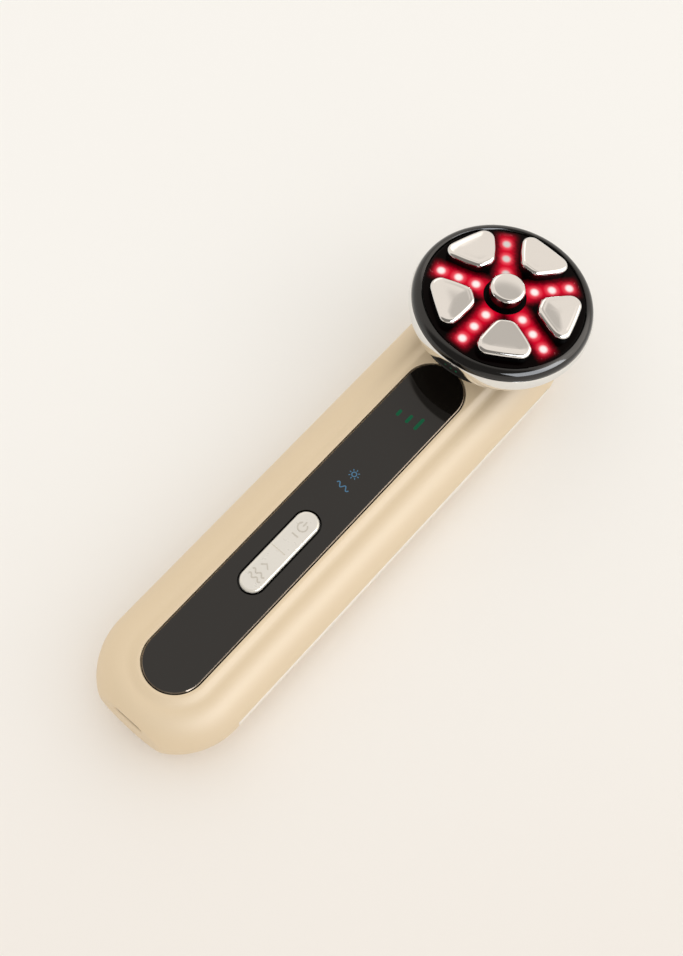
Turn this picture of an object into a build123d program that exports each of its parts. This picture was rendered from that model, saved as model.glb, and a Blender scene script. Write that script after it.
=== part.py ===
from build123d import *

import os
from math import cos, radians, sin, tan

# Facial toning device, in millimetres, lying on its back.
# Handle frame: X across, Y from the butt to the head, Z up, with Y = 0 at the centre of the round butt.
# Head frame: the origin is the centre of the head's rim and its Z is the head's own axis, height h below.

# ---------------------------------------------------------------- driving dimensions
# Handle shells
handle_half_width = 19.7
handle_run = 120.0  # between the centres of the two round ends
parting_height = 10.75  # the handle is widest here, and the two shells meet
rest_half_width = 8.7  # flat land that the device lies on
crown_height = 21.3
platform_rise = 1.1  # raised straight-sided platform that holds the panel, above the crown
flank_angle = 35.0
flank_blend = 2.0
butt_flat = 17.0  # from the butt's centre to its flat end face
butt_edge = 1.0
wall = 2.4
lip_height = 1.2
lip_inset = 1.6
lip_play = 0.1
boss_root = 0.5  # how far a boss or foot runs into what carries it

# Side strips
strip_height = 3.0
strip_thickness = 0.9
strip_proud = 0.12
strip_start = 0.6
strip_overrun = 2.0  # past the centre of the round end under the head
strip_play = 0.05

# Control panel
panel_half_width = 8.2
panel_border = 1.0  # of the platform, beside the panel
panel_set_back = 24.1  # of the panel's end arc from the handle's end arc
panel_proud = 0.1
panel_thickness = 1.2
panel_edge = 0.25
panel_play = 0.12
tape_thickness = 0.15
window_side_play = 0.4
window_start_play = 1.7
window_end_play = 3.7

# Key, the frame that carries it, pad and switches
key_middle = 36.9
key_length = 26.2
key_width = 6.5
key_proud = 0.8
key_play = 0.25
key_edge = 0.5
key_axis_depth = 1.1  # below the panel
flange_reach = 0.75
flange_thickness = 0.8
pivot_radius = 0.5
pivot_play = 0.05
pivot_length = 1.5
pivot_end_play = 0.2
switch_offset = 8.75
foot_radius = 1.6
carrier_side = 3.25  # of the key's frame, beside the key
carrier_end = 3.6
carrier_depth = 2.0
carrier_play = 0.3  # round the key's flange
pad_thickness = 0.7
pad_play = 0.03
pad_inset = 0.1
nub_radius = 1.5
nub_height = 0.37
divider_width = 0.3
divider_length = 5.0
divider_depth = 0.15
switch_size = 6.0
plunger_radius = 1.75
plunger_stand = 0.8  # above the switch's case
plunger_foot = 0.45  # below the top of the case
plunger_travel = 0.25
plunger_room = 0.1  # under the plunger at the end of its travel
plunger_play = 0.05

# Main board
board_depth = 7.4  # of its top, below the panel
board_thickness = 1.2
board_side_play = 4.3
board_set_back = 20.0  # of its end from the handle's end arc
board_play = 1.0  # to the shell's inner face at the round butt
board_front_play = 0.2  # to the shell's flat end
board_cutout_play = 0.3  # round the posts that pass through it
board_screw_inset = 2.5
board_screw_start = 14.0
board_screw_end_inset = 8.0
board_screw_radius = 0.8
board_screw_reach = 3.6
board_head_radius = 1.5
board_head_thickness = 1.1
board_boss_radius = 2.6

# Indicators behind the panel
bar_positions = (-2.75, 0.3, 3.15)
bar_lengths = (2.1, 2.8, 4.0)
bar_set_back = 11.5  # of the bars' first ends from the panel's end arc
bar_width = 0.9
icon_distances = (23.5, 27.9)  # from the key's middle
icon_size = (3.6, 2.2)
holder_half_width = 5.5
holder_margin = 2.4
led_size = (1.6, 0.8, 0.7)
led_pocket = 0.3
pipe_play = 0.03
pipe_gap = 0.2  # above the lights
pipe_drop = 0.05  # below the panel

# Charging socket
socket_width = 8.94
socket_height = 3.26
socket_length = 7.3
socket_wall = 0.3
socket_recess = 0.5
socket_back = 0.6
port_play = 0.2
tongue_width = 6.7
tongue_thickness = 0.7
tongue_recess = 1.0

# Battery
battery_start = 24.0
battery_side_inset = 1.0  # inside the board's edges
battery_coil_play = 5.0
battery_board_play = 1.3
battery_corner = 2.0
battery_pad_inset = 0.7  # inside the flat land
battery_pad_length = 40.0
battery_pad_thickness = 1.0
lead_radius = 0.6
lead_bend = 0.8
lead_starts = 1.2  # from the middle, at the plug
lead_ends = 2.6  # from the middle, at the cell
lead_slope = 0.6
header_size = (7.0, 5.0, 4.0)
header_start = 14.0
plug_size = (5.4, 3.0, 3.0)
plug_play = 0.05

# High-frequency output coil
coil_inset = 16.0  # from the board's end
coil_radius = 5.0
coil_height = 7.0
coil_flange = 1.2
coil_hub_radius = 2.2
coil_winding_radius = 4.4

# Chips on the board's top
controller_size = (7.0, 7.0, 1.0)
controller_place = 12.0
charger_size = (4.0, 4.0, 0.9)
charger_place = -2.0

# Case screws
case_screw_x = 6.0
case_screw_start = 4.0
case_screw_end_inset = 16.0  # from the handle's end arc
case_screw_radius = 1.1
case_screw_reach = 12.5
case_head_radius = 2.0
case_head_thickness = 1.4
case_boss_radius = 3.0
case_joint_height = 8.0
counterbore_depth = 3.0
counterbore_play = 0.3  # round the screw's head
plug_thickness = 1.3
plug_recess = 0.1
screw_play = 0.02  # in the hole that a screw bites into
hole_play = 0.1  # in the hole that a screw passes through
pilot_room = 0.4  # beyond a screw's end
drive_width = 0.5
drive_depth = 0.5
drive_span = 0.7  # of the screw head's diameter

# Neck and head
head_overrun = 1.3  # past the centre of the handle's round end
head_rise = 13.7  # of the rim's centre above the panel
head_tilt = 6.4
neck_radius = 12.5
neck_wall = 2.5
neck_straight = 2.0
neck_flare = 8.0
neck_flare_angle = 45.0
neck_roof = 2.4
neck_reach = 14.0  # how far below the bowl the neck is bored
bowl_radius = 23.9
bowl_depth = 8.0
bowl_corner = 6.0
bowl_wall = 1.6
bowl_lip = 0.3
rim_gap = 0.1  # the bowl's rim lies this far below the bezel's rim plane
head_screw_count = 3
head_screw_first = 90.0
head_screw_side_play = 0.1  # between the screw's head and the neck's wall
head_boss_radius = 2.2
head_boss_height = 3.6
head_screw_radius = 0.9
head_screw_reach = 2.6
head_screw_head_radius = 1.7
head_screw_head_thickness = 1.3
gasket_width = 0.7
gasket_depth = 0.4
gasket_inset = 0.2

# Bezel and face, from the bowl inwards
bezel_inset = 0.4
bezel_crest_inset = 2.0
bezel_band = 2.55
bezel_crest = 2.6
bezel_foot = 0.3
bezel_shoulder = (0.65, 0.75)  # inwards from the bezel's edge and down from its crest
bezel_slope = 0.2
bezel_inner_foot = 0.4
ledge_width = 0.85
ledge_thickness = 0.75
skirt_depth = 2.0
skirt_play = 0.1
face_rise = 0.15  # above the bezel's crest
face_thickness = 0.8
face_play = 0.1
face_shoulder = 0.55
led_board_drop = 0.85  # below the face
led_board_thickness = 0.8
led_board_play = 0.2

# Electrodes
petal_count = 5
petal_first = 90.0
petal_rise = 3.25
petal_tip = 6.8  # sharp tip of the petal's triangle, from the head's axis
petal_inset = 2.35  # from the bezel to the petal's outer side
petal_bulge = 0.7
petal_corner = 2.5
petal_edge = 1.0
stem_radius = 2.2
stem_inset = 3.8  # from the petal's outer side
stem_play = 0.05
centre_radius = 4.45
centre_rise = 4.25
collar_border = 1.15
collar_foot_radius = 3.4
boss_radius = 3.2
electrode_screw_radius = 0.8
electrode_screw_depth = 2.6
electrode_head_radius = 1.5
electrode_head_thickness = 1.0

# Light star
star_border = 1.6
spoke_half_width = 2.4
spoke_inset = 3.75  # of the spoke's end arc from the bezel
face_led_steps = (0.0, 4.5, 9.0)  # inwards from the spoke's end arc
face_led_size = (2.0, 1.6, 0.65)

# Head ribbon
ribbon_width = 6.0
ribbon_thickness = 0.3
ribbon_offset = 4.2  # from the head's axis, towards the butt
ribbon_height = 1.0  # above the board's top
ribbon_bend = 4.0
ribbon_socket_size = (8.0, 3.0, 2.0)
ribbon_socket_margin = 0.5
sensor_radius = 1.0
sensor_place = 6.0

# ---------------------------------------------------------------- values that follow
# Heights, from the crown down
platform_height = crown_height + platform_rise
panel_top = platform_height + panel_proud
panel_bottom = panel_top - panel_thickness
pocket_floor = panel_bottom - tape_thickness
cavity_top = crown_height - wall
key_top = panel_top + key_proud
key_axis_height = panel_bottom - key_axis_depth
pad_top = panel_bottom - carrier_depth
nub_low = pad_top - pad_thickness - nub_height
plunger_top = nub_low - pad_play
switch_top = plunger_top - plunger_stand
board_top = panel_bottom - board_depth
board_bottom = board_top - board_thickness

# Places along the handle
strip_end = handle_run + strip_overrun
panel_run = handle_run - panel_set_back
board_end = handle_run - board_set_back
bar_start = panel_run - bar_set_back
icon_places = [key_middle + distance for distance in icon_distances]
holder_low = icon_places[0] - holder_margin
holder_high = bar_start + max(bar_lengths) + holder_margin
carrier_length = key_length + 2 * carrier_end
carrier_width = key_width + 2 * carrier_side
window_half_width = carrier_width / 2 + window_side_play
window_start = key_middle - carrier_length / 2 - window_start_play
window_end = holder_high + window_end_play
coil_place = board_end - coil_inset
board_screw_places = (board_screw_start, board_end - board_screw_end_inset)
case_screw_places = (case_screw_start, handle_run - case_screw_end_inset)

# Across the handle
platform_half_width = panel_half_width + panel_border
board_half_width = handle_half_width - wall - board_side_play
board_screw_x = board_half_width - board_screw_inset
counterbore_radius = case_head_radius + counterbore_play
blend_rise = flank_blend * (1 - cos(radians(flank_angle)))
blend_run = flank_blend * sin(radians(flank_angle))
flank_run = (platform_rise - blend_rise) / tan(radians(flank_angle))
crown_start = platform_half_width + flank_run + blend_run

# Head, from the bowl inwards and from the bezel's crest
head_y = handle_run + head_overrun
head_z = panel_top + head_rise
tilt = radians(head_tilt)
neck_bore = neck_radius - neck_wall
head_screw_ring = neck_bore - head_screw_head_radius - head_screw_side_play
wire_hole = head_screw_ring - head_boss_radius
bowl_inner = bowl_radius - bowl_wall
bezel_radius = bowl_radius - bezel_inset
bezel_crest_radius = bezel_radius - bezel_crest_inset
bezel_inner = bezel_radius - bezel_band
ledge_inner = bezel_inner - ledge_width
led_board_radius = ledge_inner - led_board_play
face_top = bezel_crest + face_rise
lens_bottom = face_top - face_thickness
led_board_top = lens_bottom - led_board_drop
led_board_bottom = led_board_top - led_board_thickness
petal_half_angle = 180.0 / petal_count
petal_outer = bezel_inner - petal_inset
stem_ring = petal_outer - stem_inset
collar_radius = centre_radius + collar_border
star_ring = collar_radius + star_border
spoke_reach = bezel_inner - spoke_inset
head_reach = head_y + bowl_radius * cos(tilt)
row_shift = Pos(0, (butt_flat - head_reach) / 2, 0)
head_frame = Location((0, head_y, head_z), (-head_tilt, 0, 0))
big = 400.0  # more than the device's length
cut_margin = 1.0  # how far a cut runs past the face it starts from


def save(name, *solids):
    """Write one node, moved so that the overall box is centred on the origin."""
    placed = [row_shift * solid for solid in solids]
    export_step(placed[0] if len(placed) == 1 else Compound(placed), f"parts/{name}.step")


def block(size_x, size_y, size_z, x, y, z):
    """Box by its size, the centre of its plan and its lowest height."""
    return Pos(x, y, z) * Box(size_x, size_y, size_z, align=(Align.CENTER, Align.CENTER, Align.MIN))


def rod(radius, low, high, x=0.0, y=0.0):
    """Upright cylinder between two heights."""
    upright = (Align.CENTER, Align.CENTER, Align.MIN)
    return Pos(x, y, low) * Cylinder(radius, high - low, align=upright)


def tube(outer, inner, low, high, x=0.0, y=0.0):
    return rod(outer, low, high, x, y) - rod(inner, low - cut_margin, high + cut_margin, x, y)


def slot_plate(half_width, start, end, low, high):
    """Plate with round ends, whose end arcs are centred at start and end along Y."""
    outline = SlotCenterToCenter(end - start, 2 * half_width, rotation=90)
    return Pos(0, (start + end) / 2, low) * extrude(outline, high - low)


def above(height):
    return block(big, big, big, 0, 0, height)


def turned(*edges):
    """Solid of revolution about Z from an outline of radius and height."""
    return revolve(Plane.XZ * make_face(Curve() + list(edges)), Axis.Z)


def hull_section(inset, platform):
    """Right half of the handle's section, drawn in by inset, with or without the platform."""
    side = handle_half_width - inset
    top = crown_height - inset
    edges = [
        Line((0, inset), (rest_half_width, inset)),
        EllipticalCenterArc(
            (rest_half_width, parting_height),
            side - rest_half_width,
            parting_height - inset,
            start_angle=270,
            arc_size=90,
        ),
        EllipticalCenterArc(
            (crown_start, parting_height),
            side - crown_start,
            top - parting_height,
            start_angle=0,
            arc_size=90,
        ),
    ]
    if platform:
        foot = (crown_start - blend_run, crown_height + blend_rise)
        shoulder = (platform_half_width, platform_height)
        edges.append(CenterArc((crown_start, crown_height + flank_blend), flank_blend, 270, -flank_angle))
        edges.append(Line(foot, shoulder))
        edges.append(Line(shoulder, (0, platform_height)))
        edges.append(Line((0, platform_height), (0, inset)))
    else:
        edges.append(Line((crown_start, top), (0, top)))
        edges.append(Line((0, top), (0, inset)))
    return Plane.XZ * make_face(Curve() + edges)


def handle_form(inset, platform=False):
    """The handle's rounded form, drawn in by inset from the outer faces."""
    half = hull_section(inset, platform)
    middle = extrude(half + mirror(half, Plane.YZ), handle_run, dir=(0, 1, 0))
    end = revolve(half, Axis.Z, 180)
    form = middle + Pos(0, handle_run, 0) * end + Rot(0, 0, 180) * end
    flat_cut = block(big, big, big, 0, inset - butt_flat - big / 2, -big / 2)
    return form - flat_cut


def band(inset_outer, inset_inner, low, high):
    """Ring that follows the handle's wall between two insets and two heights."""
    ring = handle_form(inset_outer) - handle_form(inset_inner)
    return ring & block(big, big, high - low, 0, 0, low)


def mirrored_pair(x, places):
    return [(side * x, y) for y in places for side in (-1, 1)]


def screw(shaft_radius, head_radius, head_thickness, reach):
    """Pan-head screw with a cross drive. Its head's underside is at height 0 and its point is up."""
    body = rod(shaft_radius, -head_thickness / 2, reach) + rod(head_radius, -head_thickness, 0)
    for angle in (0, 90):
        drive = block(2 * head_radius * drive_span, drive_width, drive_depth, 0, 0, -head_thickness)
        body -= Rot(0, 0, angle) * drive
    return body


# ---------------------------------------------------------------- shells
outer = handle_form(0, platform=True)
outer = fillet(outer.edges().group_by(Axis.Y)[0], butt_edge)
cavity = handle_form(wall)
board_screws_at = mirrored_pair(board_screw_x, board_screw_places)
case_screws_at = mirrored_pair(case_screw_x, case_screw_places)


def neck():
    """Flared collar under the head, whose top is square to the head's axis."""
    flare = radians(neck_flare_angle)
    top = -bowl_depth
    turn = top - neck_straight
    flare_radius = neck_radius + neck_flare * (1 - cos(flare))
    foot = turn - neck_flare * sin(flare)
    return head_frame * turned(
        Line((0, top), (neck_radius, top)),
        Line((neck_radius, top), (neck_radius, turn)),
        CenterArc((neck_radius + neck_flare, turn), neck_flare, 180, neck_flare_angle),
        Line((flare_radius, foot), (0, foot - flare_radius)),
        Line((0, foot - flare_radius), (0, top)),
    )


def head_screw_places():
    for index in range(head_screw_count):
        angle = radians(head_screw_first + 360 / head_screw_count * index)
        yield head_screw_ring * cos(angle), head_screw_ring * sin(angle)


def strip_groove(side, play):
    """The room that a side strip takes in the wall, widened by play."""
    depth = strip_thickness - strip_proud + play
    low = parting_height - strip_height / 2 - play
    ring = band(-cut_margin, depth, low, low + strip_height + 2 * play)
    length = strip_end - strip_start + 2 * play
    middle = (strip_start + strip_end) / 2
    return ring & block(big, length, big, side * big / 2, middle, -big / 2)


def side_strip(side):
    skin = band(-strip_proud, strip_thickness - strip_proud, 0, platform_height)
    return skin & strip_groove(side, 0)


def port_hole():
    """Opening through the butt's flat for the charging plug."""
    outline = SlotOverall(socket_width + 2 * port_play, socket_height + 2 * port_play)
    middle = board_top + socket_height / 2
    return Pos(0, -butt_flat + 2 * wall, middle) * extrude(Plane.XZ * outline, 4 * wall)


grooves = strip_groove(-1, strip_play) + strip_groove(1, strip_play)
slit = block(big, big, 2 * parting_height, 0, 0, -parting_height)
rear_shell = (outer & slit) - cavity
rear_shell += band(lip_inset, wall, parting_height, parting_height + lip_height)
rear_shell -= grooves
for x, y in case_screws_at:
    rear_shell += rod(case_boss_radius, wall / 2, case_joint_height, x, y)
    rear_shell -= rod(case_screw_radius + hole_play, 0, case_joint_height + cut_margin, x, y)
    rear_shell -= rod(counterbore_radius, -cut_margin, counterbore_depth, x, y)

front_shell = (outer & above(parting_height)) + neck()
front_shell -= cavity
front_shell -= band(
    lip_inset - lip_play,
    wall + cut_margin,
    parting_height - cut_margin,
    parting_height + lip_height + lip_play,
)
front_shell -= grooves
front_shell -= port_hole()
front_shell -= slot_plate(panel_half_width + panel_play, 0, panel_run, pocket_floor, big)
front_shell -= slot_plate(
    window_half_width,
    window_start + window_half_width,
    window_end - window_half_width,
    0,
    big,
)
neck_low = -bowl_depth - neck_reach
front_shell -= head_frame * rod(neck_bore, neck_low, -bowl_depth - neck_roof)
front_shell -= head_frame * rod(wire_hole, neck_low, 0)
for x, y in head_screw_places():
    front_shell -= head_frame * rod(head_screw_radius + hole_play, neck_low, 0, x, y)
for x, y in board_screws_at:
    front_shell += rod(board_boss_radius, board_top, cavity_top + boss_root, x, y)
    pilot_end = board_top + board_screw_reach + pilot_room
    front_shell -= rod(board_screw_radius + screw_play, board_top - cut_margin, pilot_end, x, y)
for x, y in case_screws_at:
    front_shell += rod(case_boss_radius, case_joint_height, cavity_top + boss_root, x, y)
    pilot_end = counterbore_depth + case_screw_reach + pilot_room
    front_shell -= rod(case_screw_radius + screw_play, case_joint_height - cut_margin, pilot_end, x, y)

# ---------------------------------------------------------------- panel, key and switches
key_reach = key_length / 2 - key_width / 2


def key_outline(grow, low, high):
    """Plate around the key's plan, grown on every side."""
    return slot_plate(key_width / 2 + grow, key_middle - key_reach, key_middle + key_reach, low, high)


def icon_plate(index, grow, low, high):
    width = icon_size[0] + 2 * grow
    height = icon_size[1] + 2 * grow
    return Pos(0, icon_places[index], low) * extrude(SlotOverall(width, height), high - low)


def bar_block(index, grow, low, high):
    length = bar_lengths[index]
    middle = bar_start + length / 2
    return block(bar_width + 2 * grow, length + 2 * grow, high - low, bar_positions[index], middle, low)


control_panel = slot_plate(panel_half_width, 0, panel_run, panel_bottom, panel_top)
control_panel = chamfer(control_panel.edges().group_by(Axis.Z)[-1], panel_edge)
control_panel -= key_outline(key_play, 0, big)

panel_tape = slot_plate(panel_half_width, 0, panel_run, pocket_floor, panel_bottom)
panel_tape -= slot_plate(
    window_half_width,
    window_start + window_half_width,
    window_end - window_half_width,
    0,
    big,
)

flange_low = key_axis_height - flange_thickness / 2
flange_high = key_axis_height + flange_thickness / 2
rocker_key = key_outline(0, flange_low, key_top)
rocker_key = fillet(rocker_key.edges().group_by(Axis.Z)[-1], key_edge)
rocker_key += key_outline(flange_reach, flange_low, flange_high)
rocker_key -= block(divider_length, divider_width, cut_margin, 0, key_middle, key_top - divider_depth)
flange_side = key_width / 2 + flange_reach
for side in (-1, 1):
    pin = Rot(0, 90, 0) * Cylinder(pivot_radius, pivot_length + boss_root)
    pin_middle = side * (flange_side + (pivot_length - boss_root) / 2)
    rocker_key += Pos(pin_middle, key_middle, key_axis_height) * pin
    foot_y = key_middle + side * switch_offset
    rocker_key += rod(foot_radius, pad_top + pad_play, flange_low + boss_root, 0, foot_y)

carrier_reach = (carrier_length - carrier_width) / 2
key_frame = slot_plate(
    carrier_width / 2, key_middle - carrier_reach, key_middle + carrier_reach, pad_top, panel_bottom
)
key_frame -= key_outline(flange_reach + carrier_play, 0, big)
for side in (-1, 1):
    bore = Rot(0, 90, 0) * Cylinder(pivot_radius + pivot_play, 2 * pivot_length)
    key_frame -= Pos(side * (flange_side + pivot_end_play), key_middle, key_axis_height) * bore

key_pad = slot_plate(
    carrier_width / 2 - pad_inset,
    key_middle - carrier_reach,
    key_middle + carrier_reach,
    pad_top - pad_thickness,
    pad_top,
)
switch_bodies = []
plungers = []
for side in (-1, 1):
    y = key_middle + side * switch_offset
    key_pad += rod(nub_radius, nub_low, pad_top - pad_thickness, 0, y)
    case = block(switch_size, switch_size, switch_top - board_top, 0, y, board_top)
    foot = switch_top - plunger_foot
    well = foot - plunger_travel - plunger_room
    case -= rod(plunger_radius + plunger_play, well, switch_top + cut_margin, 0, y)
    switch_bodies.append(case)
    plungers.append(rod(plunger_radius, foot, plunger_top, 0, y))

# ---------------------------------------------------------------- indicators
pipe_low = board_top + led_size[2] + pipe_gap
pipe_high = panel_bottom - pipe_drop
light_holder = block(
    2 * holder_half_width,
    holder_high - holder_low,
    panel_bottom - board_top,
    0,
    (holder_low + holder_high) / 2,
    board_top,
)
level_pipes, level_leds, mode_pipes, mode_leds = [], [], [], []
for index, x in enumerate(bar_positions):
    y = bar_start + bar_lengths[index] / 2
    led = block(led_size[1], led_size[0], led_size[2], x, y, board_top)
    pocket = (led_size[1] + 2 * led_pocket, led_size[0] + 2 * led_pocket, led_size[2] + pipe_gap)
    light_holder -= block(*pocket, x, y, board_top)
    light_holder -= bar_block(index, pipe_play, board_top, big)
    level_pipes.append(bar_block(index, 0, pipe_low, pipe_high))
    level_leds.append(led)
for index, y in enumerate(icon_places):
    light_holder -= icon_plate(index, pipe_play, board_top, big)
    mode_pipes.append(icon_plate(index, 0, pipe_low, pipe_high))
    mode_leds.append(block(*led_size, 0, y, board_top))

# ---------------------------------------------------------------- main board and what it carries
board_round = handle_half_width - wall - board_play
board_front = butt_flat - wall - board_front_play
main_board = slot_plate(board_round, 0, handle_run, board_bottom, board_top)
main_board &= block(
    2 * board_half_width,
    board_front + board_end,
    big,
    0,
    (board_end - board_front) / 2,
    -big / 2,
)
for x, y in board_screws_at:
    main_board -= rod(board_screw_radius + hole_play, 0, big, x, y)
for x, y in case_screws_at:
    main_board -= rod(case_boss_radius + board_cutout_play, 0, big, x, y)

controller_chip = block(*controller_size, 0, controller_place, board_top)
charger_chip = block(*charger_size, 0, charger_place, board_top)

socket_front = -butt_flat + socket_recess
socket_middle = board_top + socket_height / 2


def socket_prism(shrink, front, length):
    outline = SlotOverall(socket_width - 2 * shrink, socket_height - 2 * shrink)
    prism = extrude(Plane.XZ * outline, -length)
    return Pos(0, front, socket_middle) * prism


charging_socket = socket_prism(0, socket_front, socket_length)
socket_room = socket_length - socket_back
charging_socket -= socket_prism(socket_wall, socket_front - cut_margin, socket_room + cut_margin)
tongue_length = socket_room - tongue_recess
socket_tongue = block(
    tongue_width,
    tongue_length,
    tongue_thickness,
    0,
    socket_front + tongue_recess + tongue_length / 2,
    socket_middle - tongue_thickness / 2,
)

battery_low = wall + battery_pad_thickness
battery_high = board_bottom - battery_board_play
battery_width = 2 * (board_half_width - battery_side_inset)
battery_length = coil_place - coil_radius - battery_coil_play - battery_start
battery_middle = battery_start + battery_length / 2
battery_size = (battery_width, battery_length, battery_high - battery_low)
battery_cell = block(*battery_size, 0, battery_middle, battery_low)
battery_cell = fillet(battery_cell.edges().filter_by(Axis.Y), battery_corner)
battery_pad_width = 2 * (rest_half_width - battery_pad_inset)
battery_pad = block(battery_pad_width, battery_pad_length, battery_pad_thickness, 0, battery_middle, wall)

header_middle = header_start + header_size[1] / 2
header_low = board_bottom - header_size[2]
plug_middle = header_start + header_size[1] - plug_size[1] / 2
plug_low = header_low + (header_size[2] - plug_size[2]) / 2
battery_header = block(*header_size, 0, header_middle, header_low)
plug_room = [size + 2 * plug_play for size in plug_size]
battery_header -= block(*plug_room, 0, plug_middle, plug_low - plug_play)
battery_plug = block(*plug_size, 0, plug_middle, plug_low)
lead_height = plug_low + plug_size[2] / 2
lead_begin = header_start + header_size[1]


def battery_lead(side):
    """One wire from the plug's back to the end of the cell."""
    low = (battery_low + battery_high) / 2
    middle = (lead_begin + battery_start) / 2
    route = FilletPolyline(
        (side * lead_starts, lead_begin, lead_height),
        (side * lead_starts, middle - lead_slope, lead_height),
        (side * lead_ends, middle + lead_slope, low),
        (side * lead_ends, battery_start, low),
        radius=lead_bend,
    )
    return sweep(Plane(route @ 0, z_dir=route % 0) * Circle(lead_radius), path=route)


coil_top = board_bottom
coil_low = coil_top - coil_height
rf_coil_core = (
    rod(coil_hub_radius, coil_low, coil_top, 0, coil_place)
    + rod(coil_radius, coil_low, coil_low + coil_flange, 0, coil_place)
    + rod(coil_radius, coil_top - coil_flange, coil_top, 0, coil_place)
)
rf_coil_winding = tube(
    coil_winding_radius,
    coil_hub_radius + screw_play,
    coil_low + coil_flange,
    coil_top - coil_flange,
    0,
    coil_place,
)

# ---------------------------------------------------------------- fasteners of the handle
board_screw = screw(
    board_screw_radius, board_head_radius, board_head_thickness, board_thickness + board_screw_reach
)
case_screw = screw(case_screw_radius, case_head_radius, case_head_thickness, case_screw_reach)
board_screws = [Pos(x, y, board_bottom) * board_screw for x, y in board_screws_at]
case_screws = [Pos(x, y, counterbore_depth) * case_screw for x, y in case_screws_at]
screw_plugs = [
    rod(counterbore_radius - screw_play, plug_recess, plug_recess + plug_thickness, x, y)
    for x, y in case_screws_at
]

# ---------------------------------------------------------------- head, drawn in its own frame
bowl_flat = bowl_radius - bowl_corner
bowl_turn = -bowl_depth + bowl_corner
bowl_floor = -bowl_depth + bowl_wall
head_bowl = turned(
    Line((wire_hole, -bowl_depth), (bowl_flat, -bowl_depth)),
    CenterArc((bowl_flat, bowl_turn), bowl_corner, 270, 90),
    Line((bowl_radius, bowl_turn), (bowl_radius, -rim_gap - bowl_lip)),
    Line((bowl_radius, -rim_gap - bowl_lip), (bowl_radius - bowl_lip, -rim_gap)),
    Line((bowl_radius - bowl_lip, -rim_gap), (bowl_inner, -rim_gap)),
    Line((bowl_inner, -rim_gap), (bowl_inner, bowl_turn)),
    CenterArc((bowl_flat, bowl_turn), bowl_corner - bowl_wall, 0, -90),
    Line((bowl_flat, bowl_floor), (wire_hole, bowl_floor)),
    Line((wire_hole, bowl_floor), (wire_hole, -bowl_depth)),
)
gasket_outer = bowl_radius - bowl_lip - gasket_inset
gasket_inner = gasket_outer - gasket_width
gasket_low = -rim_gap - gasket_depth
head_bowl -= tube(gasket_outer, gasket_inner, gasket_low, 0)
bowl_gasket = tube(gasket_outer, gasket_inner, gasket_low, -rim_gap)
head_screws = []
head_screw = screw(
    head_screw_radius,
    head_screw_head_radius,
    head_screw_head_thickness,
    neck_roof + bowl_wall + head_screw_reach,
)
for x, y in head_screw_places():
    head_bowl += rod(head_boss_radius, bowl_floor - boss_root, bowl_floor + head_boss_height, x, y)
    pilot_end = bowl_floor + head_screw_reach + pilot_room
    head_bowl -= rod(head_screw_radius + screw_play, -bowl_depth - cut_margin, pilot_end, x, y)
    head_screws.append(Pos(x, y, -bowl_depth - neck_roof) * head_screw)

skirt_outer = bowl_inner - skirt_play
ledge_top = lens_bottom
shoulder = (bezel_radius - bezel_shoulder[0], bezel_crest - bezel_shoulder[1])
bezel_ring = turned(
    Line((bezel_radius, -rim_gap), (bezel_radius, bezel_foot)),
    ThreePointArc((bezel_radius, bezel_foot), shoulder, (bezel_crest_radius, bezel_crest)),
    Line((bezel_crest_radius, bezel_crest), (bezel_inner, bezel_crest - bezel_slope)),
    Line((bezel_inner, bezel_crest - bezel_slope), (bezel_inner, ledge_top)),
    Line((bezel_inner, ledge_top), (ledge_inner, ledge_top)),
    Line((ledge_inner, ledge_top), (ledge_inner, ledge_top - ledge_thickness)),
    Line((ledge_inner, ledge_top - ledge_thickness), (bezel_inner, bezel_inner_foot)),
    Line((bezel_inner, bezel_inner_foot), (bezel_inner, -skirt_depth)),
    Line((bezel_inner, -skirt_depth), (skirt_outer, -skirt_depth)),
    Line((skirt_outer, -skirt_depth), (skirt_outer, -rim_gap)),
    Line((skirt_outer, -rim_gap), (bezel_radius, -rim_gap)),
)


def spoke_angles():
    for index in range(petal_count):
        yield petal_first + petal_half_angle + 360 / petal_count * index


def petal_angles():
    for index in range(petal_count):
        yield petal_first + 360 / petal_count * index


def around(radius, angle):
    return radius * cos(radians(angle)), radius * sin(radians(angle))


def light_star(low, high):
    """Ring round the collar with one round-ended spoke between each pair of petals."""
    star = tube(star_ring, collar_radius, low, high)
    spoke_from = collar_radius - boss_root
    for angle in spoke_angles():
        spoke = SlotCenterToCenter(spoke_reach - spoke_from, 2 * spoke_half_width)
        place = Rot(0, 0, angle) * Pos((spoke_reach + spoke_from) / 2, 0, low)
        star += place * extrude(spoke, high - low)
    return star - rod(collar_radius, low - cut_margin, high + cut_margin)


def petal_outline():
    """Rounded triangle that points at the head's axis, in the XY plane with its point towards -Y."""
    half_base = (petal_outer - petal_tip) * tan(radians(petal_half_angle))
    corner_left = (-half_base, petal_outer)
    corner_right = (half_base, petal_outer)
    edges = [
        Line((0, petal_tip), corner_right),
        ThreePointArc(corner_right, (0, petal_outer + petal_bulge), corner_left),
        Line(corner_left, (0, petal_tip)),
    ]
    face = make_face(Curve() + edges)
    return fillet(face.vertices(), petal_corner)


face_radius = bezel_inner - face_play
face_disc = turned(
    Line((0, lens_bottom), (face_radius, lens_bottom)),
    Line((face_radius, lens_bottom), (face_radius, face_top - face_shoulder)),
    Line((face_radius, face_top - face_shoulder), (face_radius - face_shoulder, face_top)),
    Line((face_radius - face_shoulder, face_top), (0, face_top)),
    Line((0, face_top), (0, lens_bottom)),
)
light_window = light_star(lens_bottom, face_top)
plate_cut = (lens_bottom - cut_margin, face_top + cut_margin)
face_plate = face_disc - light_star(*plate_cut) - rod(collar_radius + boss_root, *plate_cut)

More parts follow.
